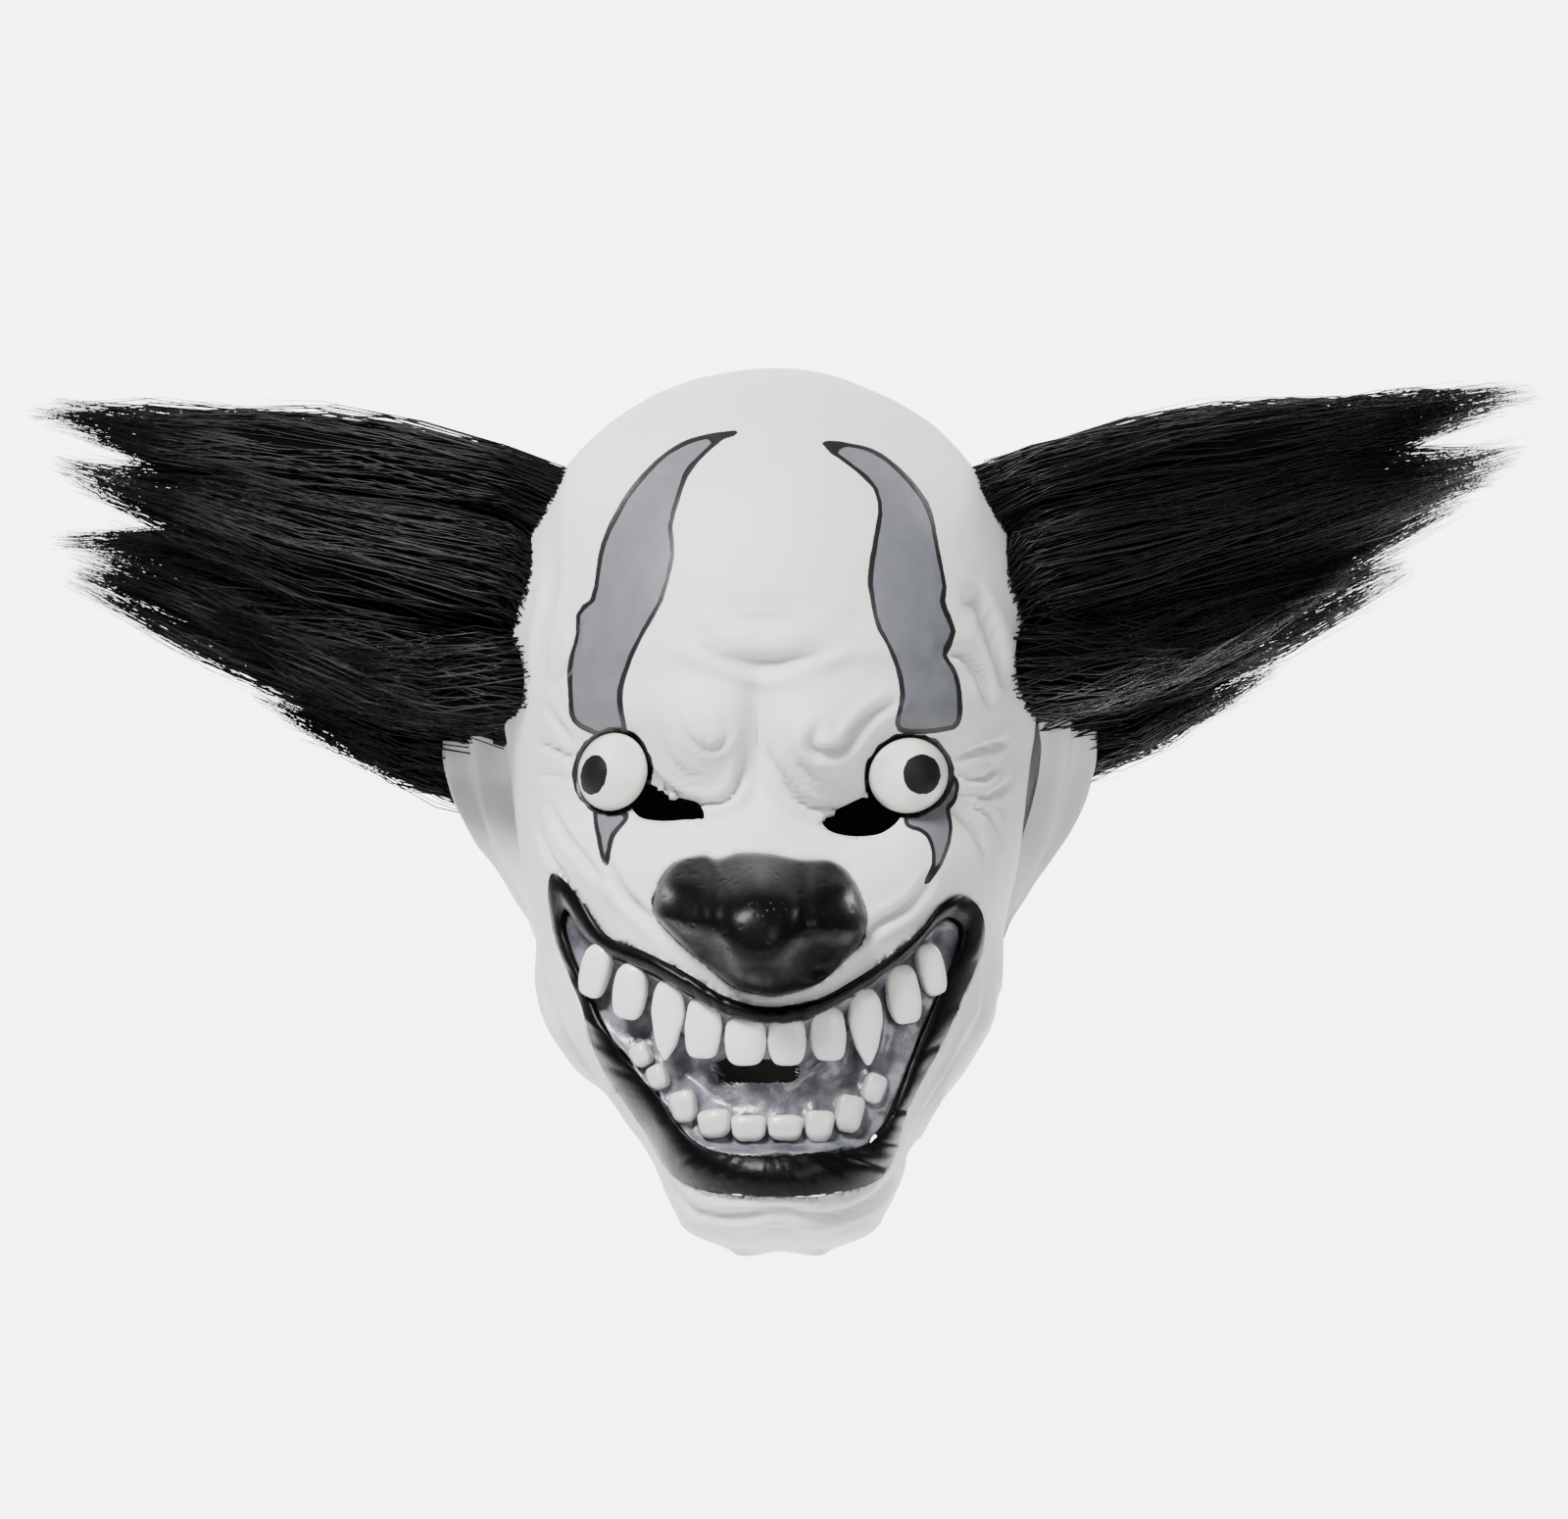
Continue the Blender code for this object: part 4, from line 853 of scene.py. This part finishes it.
bmesh.ops.remove_doubles(bm, verts=bm.verts, dist=0.01 * MM)
bmesh.ops.recalc_face_normals(bm, faces=bm.faces)
if min(bm.faces, key=lambda face: face.calc_center_median().y).normal.y > 0:
    bmesh.ops.reverse_faces(bm, faces=bm.faces)
bm.normal_update()
hub = Vector((mouth_place(*MOUTH_HUB)[0], 0, mouth_place(*MOUTH_HUB)[1]))
for vert in bm.verts:
    if vert.normal.y < 0.2:
        way = Vector((vert.co.x, 0, vert.co.z)) - hub
        turn = atan2(way.z, way.x)
        pucker = noise.noise(Vector((turn * 12, way.length * 20, 4))) * 0.35
        pucker -= max(noise.noise(Vector((turn * 18, way.length * 8, 9))) - 0.2, 0) * 1.1
        vert.co += vert.normal * (pucker + noise.noise(vert.co * 55) * 0.7) * MM
lips = new_piece("black_lips", bm)

lip_paint, shader, place = new_material("gloss_black_lips", Specular_IOR_Level=0.13)
worn = place.noise(110, 4, 0.65)
connect(
    shader,
    Base_Color=worn.step(0.5, 0.8).mix((0.002, 0.002, 0.0025, 1), (0.006, 0.006, 0.007, 1)),
    Roughness=0.28 + worn * 0.14,
    Normal=place.noise(360, 4, 0.6).bump(0.4 * MM, 0.4),
)
lips.data.materials.append(lip_paint)
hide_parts("lips")


# The mouth lining is a shallow grey tray of latex behind the lips, with ridges where the teeth are set
# and a slot to breathe through.
GUM_RIM = 3.0 * MM
GUM_DEPTH = 15 * MM
GUM_SEGMENTS = 124
SLOT_PLACE = (-0.018, -0.118)
SLOT_WIDTH = 28.7 * MM
SLOT_HEIGHT = 8.0 * MM
# Teeth as seen from the front, in mm: left and right, top and bottom as drops, lean in degrees, and the
# width left at the biting end
TEETH = {
    "upper_tooth_1": (-64.2, -53.4, 198.5, 216.5, 16, 0.90),
    "upper_tooth_2": (-52.8, -41.2, 205.0, 223.7, 9, 0.92),
    "upper_tooth_3": (-39.8, -28.4, 210.0, 237.3, 3, 0.20),
    "upper_tooth_4": (-28.2, -15.8, 215.5, 236.5, 3, 0.90),
    "upper_tooth_5": (-15.0, -1.0, 221.5, 238.6, 1, 0.92),
    "upper_tooth_6": (-0.4, 12.4, 222.0, 238.6, -1, 0.90),
    "upper_tooth_7": (13.6, 26.0, 219.0, 237.2, -3, 0.90),
    "upper_tooth_8": (26.8, 38.4, 213.0, 238.8, -3, 0.20),
    "upper_tooth_9": (39.4, 51.2, 205.5, 225.4, -10, 0.90),
    "upper_tooth_10": (50.0, 59.4, 198.0, 216.0, -17, 0.88),
    "lower_tooth_1": (-46.4, -39.8, 231.5, 240.0, -30, 0.95),
    "lower_tooth_2": (-40.6, -34.0, 238.6, 247.4, -24, 0.95),
    "lower_tooth_3": (-33.0, -24.6, 247.2, 258.2, -14, 1.00),
    "lower_tooth_4": (-23.8, -13.2, 253.4, 263.0, -5, 1.02),
    "lower_tooth_5": (-12.4, -1.2, 255.2, 264.2, 0, 1.04),
    "lower_tooth_6": (-0.2, 11.0, 255.2, 264.0, 0, 1.04),
    "lower_tooth_7": (12.2, 21.4, 253.4, 264.2, 4, 1.02),
    "lower_tooth_8": (22.6, 31.4, 248.6, 261.6, 12, 0.98),
    "lower_tooth_9": (31.6, 38.8, 241.6, 251.8, 22, 0.95),
}

bm = bmesh.new()
share, turn = disc_grid(bm, GUM_SEGMENTS)
hub = mouth_place(*MOUTH_HUB)
dx, dz = outline_at(lip_inner, turn, hub)
x = hub[0] + dx * share * 0.99
z = hub[1] + dz * share * 0.99
depth = GUM_RIM + GUM_DEPTH * (1 - share**2.5)
bed = np.zeros(len(x))
for left, right, top, bottom, lean, point in TEETH.values():
    far_x = (x - (left + right) / 2 * MM) / ((right - left) / 2 * MM)
    far_z = (z - WALL + (top + bottom) / 2 * MM) / ((bottom - top) / 2 * MM)
    bed += np.exp(-(((np.hypot(far_x, far_z) - 1.0) / 0.35) ** 2)) * 1.0 * MM
depth = depth - np.clip(bed, 0, 1.8 * MM)
write_verts(bm, np.stack([x, face_y(x, z) + depth, z], axis=1))
slot_middle = mouth_place(*SLOT_PLACE)
slot_angles = np.linspace(0, 2 * pi, 72, endpoint=False)
slot_reach = SLOT_WIDTH / 2 - SLOT_HEIGHT / 2
slot_outline = slot_middle + np.stack(
    [
        np.sign(np.cos(slot_angles)) * slot_reach + np.cos(slot_angles) * SLOT_HEIGHT / 2,
        np.sin(slot_angles) * SLOT_HEIGHT / 2,
    ],
    axis=1,
)
middles = np.array([face.calc_center_median() for face in bm.faces])
in_slot = signed_distance(slot_outline, middles[:, 0], middles[:, 2]) < 0
doomed = [face for face, gone in zip(bm.faces, in_slot) if gone]
bmesh.ops.delete(bm, geom=doomed, context="FACES")
bmesh.ops.recalc_face_normals(bm, faces=bm.faces)
if sum(face.normal.y for face in bm.faces) > 0:
    bmesh.ops.reverse_faces(bm, faces=bm.faces)
bm.normal_update()
for vert in bm.verts:
    if not vert.is_boundary:
        vert.co += vert.normal * (noise.noise(vert.co * 110) * 0.7 + noise.noise(vert.co * 320) * 0.25) * MM
gums = new_piece("grey_gums", bm)
wall = gums.modifiers.new("Wall", "SOLIDIFY")
wall.thickness = WALL
wall.offset = -1
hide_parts("gums")

gum_grey, shader, place = new_material("wet_grey_gum", Coat_Weight=0.5, Coat_Roughness=0.15)
clouds = place.noise(120, 4, 0.6)
speckle = place.noise(420, 3, 0.6).step(0.4, 0.7)
gum = clouds.step(0.3, 0.7).mix((0.06, 0.062, 0.074, 1), (0.20, 0.205, 0.235, 1))
gum = (speckle * 0.35).mix(gum, (0.09, 0.092, 0.108, 1))
connect(
    shader,
    Base_Color=gum,
    Roughness=0.30 + clouds * 0.15,
    Normal=place.noise(380, 4, 0.6).bump(0.6 * MM, 0.6),
)
gums.data.materials.append(gum_grey)


# The teeth are separate small castings, glued to the mouth lining. The upper row's two pointed fangs stand
# longer than the rest. The lower row has flat tops and round feet, and is coloured with a darker copy of the white as
# painted shade.
TOOTH_DEPTH = 6.2 * MM

def enamel(name, dark, light):
    material, shader, place = new_material(name, Coat_Weight=0.3, Coat_Roughness=0.12)
    stain = place.noise(150, 4, 0.6)
    connect(
        shader,
        Base_Color=stain.mix(dark, light),
        Roughness=0.24 + stain * 0.14,
        Normal=place.noise(330, 3).bump(0.25 * MM, 0.4),
    )
    return material


tooth_ivory = enamel("tooth_white", (0.78, 0.775, 0.75, 1), (0.88, 0.875, 0.86, 1))
# The lower teeth get a darker copy of the white enamel: painted shade inside the mouth.
enamel_painted_shade = enamel("enamel_painted_shade", (0.52, 0.51, 0.47, 1), (0.72, 0.71, 0.67, 1))

for node, (left, right, top, bottom, lean, point) in TEETH.items():
    low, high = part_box(node)
    upper = node.startswith("upper")
    middle = Vector(((left + right) / 2 * MM, (low[1] + high[1]) / 2, WALL - (top + bottom) / 2 * MM))
    slope = float(face_y(middle.x + 3 * MM, middle.z) - face_y(middle.x - 3 * MM, middle.z)) / (6 * MM)
    bm = bmesh.new()
    bmesh.ops.create_cube(bm, size=2)
    bmesh.ops.subdivide_edges(bm, edges=bm.edges, cuts=13, use_grid_fill=True)
    cube = read_verts(bm)
    size = np.abs(cube)
    bulge = 3.8 if upper else 4.6
    rounded = cube / ((size**bulge).sum(axis=1) ** (1 / bulge))[:, None] * size.max(axis=1)[:, None]
    down = (1 - rounded[:, 2]) / 2 if upper else (1 + rounded[:, 2]) / 2
    if upper:
        wide = np.interp(down, (0, 0.15, 0.5, 1), (0.80, 0.93, 1.0, point))
    else:
        wide = np.interp(down, (0, 0.25, 0.7, 1), (0.72, 0.96, 1.06, point + 0.06))
        rounded[:, 2] = np.where(down > 0.78, 0.56 + (rounded[:, 2] - 0.56) * 0.9, rounded[:, 2])
    if point < 0.5:
        wide = np.interp(down, (0, 0.15, 0.45, 0.8, 1), (0.80, 0.95, 1.0, 0.62, point))
    deep = np.interp(down, (0, 0.2, 0.65, 1), (0.80, 1.0, 0.92, 0.62))
    half = 0.5 * np.array([(right - left) * MM, TOOTH_DEPTH, (bottom - top) * MM])
    tooth = rounded * half * np.stack([wide, deep, np.ones(len(wide))], axis=1)
    tooth[:, 1] += 0.14 * tooth[:, 0] ** 2 / half[0]
    write_verts(bm, tooth)
    turned = Matrix.Rotation(atan2(slope, 1) / 2, 4, "Z") @ Matrix.Rotation(radians(lean), 4, "Y")
    bm.transform(Matrix.Translation(middle) @ turned)
    bm.normal_update()
    for vert in bm.verts:
        vert.co += vert.normal * noise.noise(vert.co * 160) * 0.35 * MM
    bmesh.ops.recalc_face_normals(bm, faces=bm.faces)
    piece = new_piece(node.replace("tooth", "enamel"), bm)
    piece.data.materials.append(tooth_ivory if upper else enamel_painted_shade)
    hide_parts(node)


# Each hair tuft is black synthetic fur, rooted in a backing on the side of the head and combed outwards
# into locks. It is modelled as a near-black matte core of locks, painted shade deep in the tuft, and
# thousands of separate closed strands.
TUFT_REACH = 160 * MM
TUFT_HEIGHT = 112 * MM
TUFT_DEPTH = 100 * MM
LOCK_RADIUS = 23 * MM
TUFT_PLACE = (0.08, 0.300)
LOCKS = {
    "right": {
        "fill_high": (-0.02, -0.24, 0.86, 0.06, -0.60, 0.95, 0.00),
        "fill_low": (0.00, 0.06, 0.84, 0.06, -0.28, 1.00, 0.03),
        "top_front": (-0.16, -0.36, 1.00, 0.00, -0.66, 0.80, -0.02),
        "top_back": (0.20, -0.32, 0.80, 0.16, -0.56, 0.90, -0.02),
        "middle_front": (-0.24, -0.10, 0.96, 0.00, -0.50, 1.05, 0.02),
        "middle_back": (0.24, 0.00, 0.97, 0.16, -0.27, 1.15, 0.04),
        "flap": (-0.36, 0.16, 0.40, -0.22, 0.10, 0.90, 0.03),
        "low_front": (-0.20, 0.18, 0.66, 0.02, -0.08, 0.95, 0.06),
        "low_back": (0.26, 0.26, 0.93, 0.18, -0.17, 1.00, 0.05),
        "nape": (0.32, 0.46, 0.54, 0.26, 0.20, 0.78, 0.04),
    },
    "left": {
        "fill_high": (-0.02, -0.24, 0.90, 0.06, -0.66, 0.95, 0.00),
        "fill_low": (0.00, 0.04, 0.84, 0.06, -0.40, 1.00, 0.03),
        "top_front": (-0.16, -0.36, 1.06, 0.00, -0.72, 0.80, -0.02),
        "top_back": (0.20, -0.32, 0.80, 0.16, -0.62, 0.90, -0.02),
        "middle_front": (-0.24, -0.10, 1.04, 0.00, -0.54, 1.05, 0.00),
        "middle_back": (0.24, 0.00, 0.98, 0.16, -0.46, 1.15, 0.06),
        "flap": (-0.36, 0.10, 0.40, -0.22, 0.02, 0.90, 0.03),
        "low_front": (-0.20, 0.12, 0.72, 0.02, -0.22, 0.95, 0.06),
        "low_back": (0.26, 0.20, 0.80, 0.18, -0.20, 1.00, 0.05),
        "nape": (0.32, 0.40, 0.52, 0.26, 0.12, 0.78, 0.04),
    },
}
STRANDS = 4350
STRAND_STEPS = 6
CORE_LENGTH = 0.78
STRAND_RADIUS = 0.36 * MM

fur_black, shader, place = new_material("black_fur", Specular_IOR_Level=0.22)
tone = place.attribute("tone")
connect(
    shader,
    Base_Color=tone.mix((0.0015, 0.0015, 0.002, 1), (0.007, 0.007, 0.008, 1)),
    Roughness=0.26 + tone * 0.14,
)


# The core is the black of the fur made darker and matte: painted shade deep inside the tuft.
fur_shadow, shader, place = new_material("fur_painted_shade", Specular_IOR_Level=0.02, Roughness=0.95)
connect(shader, Base_Color=place.noise(400, 3).mix((0.0012, 0.0012, 0.0014, 1), (0.003, 0.003, 0.0035, 1)))


def lock_middle(side, row, share):
    """The middle line of a lock at shares of its length, and its thickness there."""
    back, drop, reach, tip_back, tip_drop, thick, sag = row
    heart = np.array([0, TUFT_PLACE[0] * TUFT_DEPTH, WALL - TUFT_PLACE[1] * HEAD_HEIGHT])
    start = heart + (side * 0.74 * HALF_WIDTH, back * TUFT_DEPTH, -drop * TUFT_HEIGHT)
    tip = heart + (side * (HALF_WIDTH + reach * TUFT_REACH), tip_back * TUFT_DEPTH, -tip_drop * TUFT_HEIGHT)
    line = start + (tip - start) * share[..., None]
    line[..., 2] -= sag * TUFT_HEIGHT * 4 * share * (1 - share)
    size = thick * LOCK_RADIUS * (1 - np.clip(share, 0, 1) ** 2.8)
    return line, size


def off_the_head(side, line):
    """Presses what lies inside the head out into its wall, so that nothing hangs in the hollow."""
    width, shift, axis, front, back, corner = section(np.clip(WALL - line[..., 2], 0.1 * MM, HEAD_HEIGHT))
    ahead = line[..., 1] < axis
    share = np.abs(line[..., 1] - axis) / np.where(ahead, front, back)
    wall = side * shift + width * np.clip(1 - share**corner, 0, 1) ** (1 / corner) - 1.2 * MM
    out = np.maximum(side * line[..., 0], wall)
    line[..., 0] = side * out
    below_flap = np.clip((-0.118 - line[..., 2]) / (10 * MM), 0, 1) * np.clip((0.128 - out) / (8 * MM), 0, 1)
    behind_ear = 6 * MM + 1.15 * np.clip(out - 86 * MM, 0, 32 * MM)
    line[..., 1] += below_flap * np.maximum(behind_ear - line[..., 1], 0)
    return line


def fur_mesh(name, paths, radii, tones):
    """Closed three-sided strands along paths, each a row of points, as one mesh."""
    count, steps = radii.shape
    along = np.gradient(paths, axis=1)
    along /= np.linalg.norm(along, axis=2, keepdims=True)
    across = np.cross(along, np.array([0.0, 0.0, 1.0]))
    across /= np.linalg.norm(across, axis=2, keepdims=True) + 1e-9
    other = np.cross(along, across)
    sides = []
    for side in range(3):
        angle = 2 * pi * side / 3
        sides.append(paths + (across * cos(angle) + other * sin(angle)) * radii[..., None])
    verts = np.stack(sides, axis=2).reshape(-1, 3)
    faces = []
    for strand in range(count):
        base = strand * steps * 3
        for step in range(steps - 1):
            low = base + step * 3
            for side in range(3):
                turn = (side + 1) % 3
                faces.append((low + side, low + turn, low + 3 + turn, low + 3 + side))
        faces.append((base + 2, base + 1, base))
        top = base + (steps - 1) * 3
        faces.append((top, top + 1, top + 2))
    mesh = bpy.data.meshes.new(name)
    mesh.from_pydata(verts.tolist(), [], faces)
    mesh.attributes.new("tone", "FLOAT", "POINT").data.foreach_set("value", np.repeat(tones, steps * 3))
    mesh.shade_smooth()
    piece = bpy.data.objects.new(name, mesh)
    bpy.context.scene.collection.objects.link(piece)
    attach(piece, "root")
    mesh.materials.append(fur_black)
    return piece


for name, side in (("right", -1), ("left", 1)):
    chance = np.random.default_rng(7 + side)
    rows = list(LOCKS[name].values())
    bm = bmesh.new()
    for row in rows:
        made = bmesh.ops.create_uvsphere(bm, u_segments=24, v_segments=24, radius=1)["verts"]
        ball = np.array([vert.co for vert in made])
        share = np.clip((1 - ball[:, 2]) / 2, 0, 1) * CORE_LENGTH
        line, size = lock_middle(side, row, share)
        around = np.arctan2(ball[:, 1], ball[:, 0])
        closing = np.clip(share / 0.04, 0, 1) ** 0.5 * np.clip((CORE_LENGTH - share) / 0.25, 0, 1) ** 0.6
        thick = size * 0.86 * closing
        line[:, 1] += np.cos(around) * thick * 1.5
        line[:, 2] += np.sin(around) * thick
        for vert, spot in zip(made, off_the_head(side, line)):
            vert.co = spot
    bmesh.ops.recalc_face_normals(bm, faces=bm.faces)
    core = new_piece(f"fur_core_{name}", bm)
    core.data.materials.append(fur_shadow)
    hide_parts(f"hair_{name}")
    weights = np.array([row[5] * (0.4 + row[2]) for row in rows])
    for layer in ("under", "outer"):
        lock = chance.choice(len(rows), STRANDS, p=weights / weights.sum())
        clump = chance.integers(0, 26, STRANDS)
        clump_angle = np.random.default_rng(3).uniform(0, 2 * pi, (len(rows), 26))[lock, clump]
        clump_out = np.random.default_rng(4).uniform(0.2, 1.0, (len(rows), 26))[lock, clump] ** 0.5
        clump_end = np.random.default_rng(5).uniform(0.86, 1.03, (len(rows), 26))[lock, clump]
        angle = chance.uniform(0, 2 * pi, STRANDS)
        low_out = 0.55 if layer == "under" else 0.8
        out = chance.uniform(low_out, 1.03, STRANDS)
        end = clump_end * (1 - 0.5 * chance.uniform(0, 1, STRANDS) ** 2.5)
        begin = chance.uniform(-0.10, -0.02, STRANDS)
        share = begin[:, None] + (end - begin)[:, None] * np.linspace(0, 1, STRAND_STEPS)
        paths = np.zeros((STRANDS, STRAND_STEPS, 3))
        for index, row in enumerate(rows):
            mine = lock == index
            line, size = lock_middle(side, row, share[mine])
            pull = np.clip((share[mine] - begin[mine, None]) / 0.9, 0, 1) ** 1.4 * 0.85
            y = np.cos(angle[mine]) * out[mine]
            z = np.sin(angle[mine]) * out[mine]
            clump_y = np.cos(clump_angle[mine]) * clump_out[mine]
            clump_z = np.sin(clump_angle[mine]) * clump_out[mine]
            rising = np.clip((share[mine] - 0.05) / 0.20, 0, 1)
            size = size * (0.80 + 0.20 * rising * (2 - rising)) + 2.0 * MM
            line[..., 1] += (y[:, None] * (1 - pull) + clump_y[:, None] * pull) * size * 1.5
            line[..., 2] += (z[:, None] * (1 - pull) + clump_z[:, None] * pull) * size
            paths[mine] = line
        phase = np.random.default_rng(6).uniform(0, 2 * pi, (len(rows), 26))[lock, clump][:, None]
        swell = np.sin(share * 11 + phase) * np.clip(share * 3, 0, 1) * 2.2 * MM
        paths[..., 2] += swell
        paths[..., 1] += np.cos(share * 9 + 2 * phase) * np.clip(share * 3, 0, 1) * 2.2 * MM
        wander = chance.normal(0, 1, (STRANDS, 1, 3)) * np.linspace(0, 1, STRAND_STEPS)[None, :, None] ** 1.5
        paths = off_the_head(side, paths + wander * 1.6 * MM * np.array([0.6, 1, 1]))
        taper = 1 - 0.85 * np.linspace(0, 1, STRAND_STEPS) ** 2.2
        radii = STRAND_RADIUS * chance.uniform(0.7, 1.2, STRANDS)[:, None] * taper
        fur = fur_mesh(f"fur_{layer}_{name}", paths, radii, chance.uniform(0, 1, STRANDS))
        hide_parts(f"hair_{name}")


# The studio: a pale floor that sweeps up behind the mask, soft lights, and the camera of the photograph.
bm = bmesh.new()
bmesh.ops.create_grid(bm, x_segments=2, y_segments=90, size=1)
flat = read_verts(bm)
run = (flat[:, 1] + 1) / 2 * 10
bend = np.clip(run - 4.2, 0, pi / 2)
y = np.where(run < 4.2, run - 1.0, 3.2 + np.sin(bend))
z = 1 - np.cos(bend) + np.clip(run - 4.2 - pi / 2, 0, None)
write_verts(bm, np.stack([flat[:, 0] * 1.6, y, z - 0.75], axis=1))
floor_mesh = bpy.data.meshes.new("sweep")
bm.to_mesh(floor_mesh)
bm.free()
floor_mesh.shade_smooth()
floor = bpy.data.objects.new("sweep", floor_mesh)
bpy.context.scene.collection.objects.link(floor)
paper, shader, place = new_material("pale_paper", Roughness=0.9, Base_Color=(0.90, 0.90, 0.90, 1))
floor_mesh.materials.append(paper)

world = bpy.data.worlds.new("studio")
bpy.context.scene.world = world
world.use_nodes = True
world.node_tree.nodes["Background"].inputs["Color"].default_value = (1, 1, 1, 1)
world.node_tree.nodes["Background"].inputs["Strength"].default_value = 0.09

# Soft boxes: place, the point each is turned to, size in metres and power in watts
LIGHTS = {
    "key": ((-0.80, -1.45, 1.40), (0, -0.08, -0.15), 0.7, 125),
    "fill": ((1.3, -2.2, 0.3), (0, -0.08, -0.15), 1.2, 24),
    "paper_left": ((-2.2, 2.2, 1.4), (0, 4.2, -0.2), 1.6, 420),
    "paper_right": ((2.2, 2.2, 1.4), (0, 4.2, -0.2), 1.6, 420),
}
for name, (spot, aim, size, power) in LIGHTS.items():
    lamp = bpy.data.lights.new(name, "AREA")
    lamp.size = size
    lamp.energy = power
    light = bpy.data.objects.new(name, lamp)
    light.location = spot
    light.rotation_euler = (Vector(aim) - Vector(spot)).to_track_quat("-Z", "Y").to_euler()
    bpy.context.scene.collection.objects.link(light)

camera_data = bpy.data.cameras.new("camera")
camera_data.sensor_width = 36
camera_data.lens = 204.5
camera = bpy.data.objects.new("camera", camera_data)
camera.location = (0.005, -3.1, -0.134)
camera.rotation_euler = (radians(90), 0, 0)
bpy.context.scene.collection.objects.link(camera)
bpy.context.scene.camera = camera
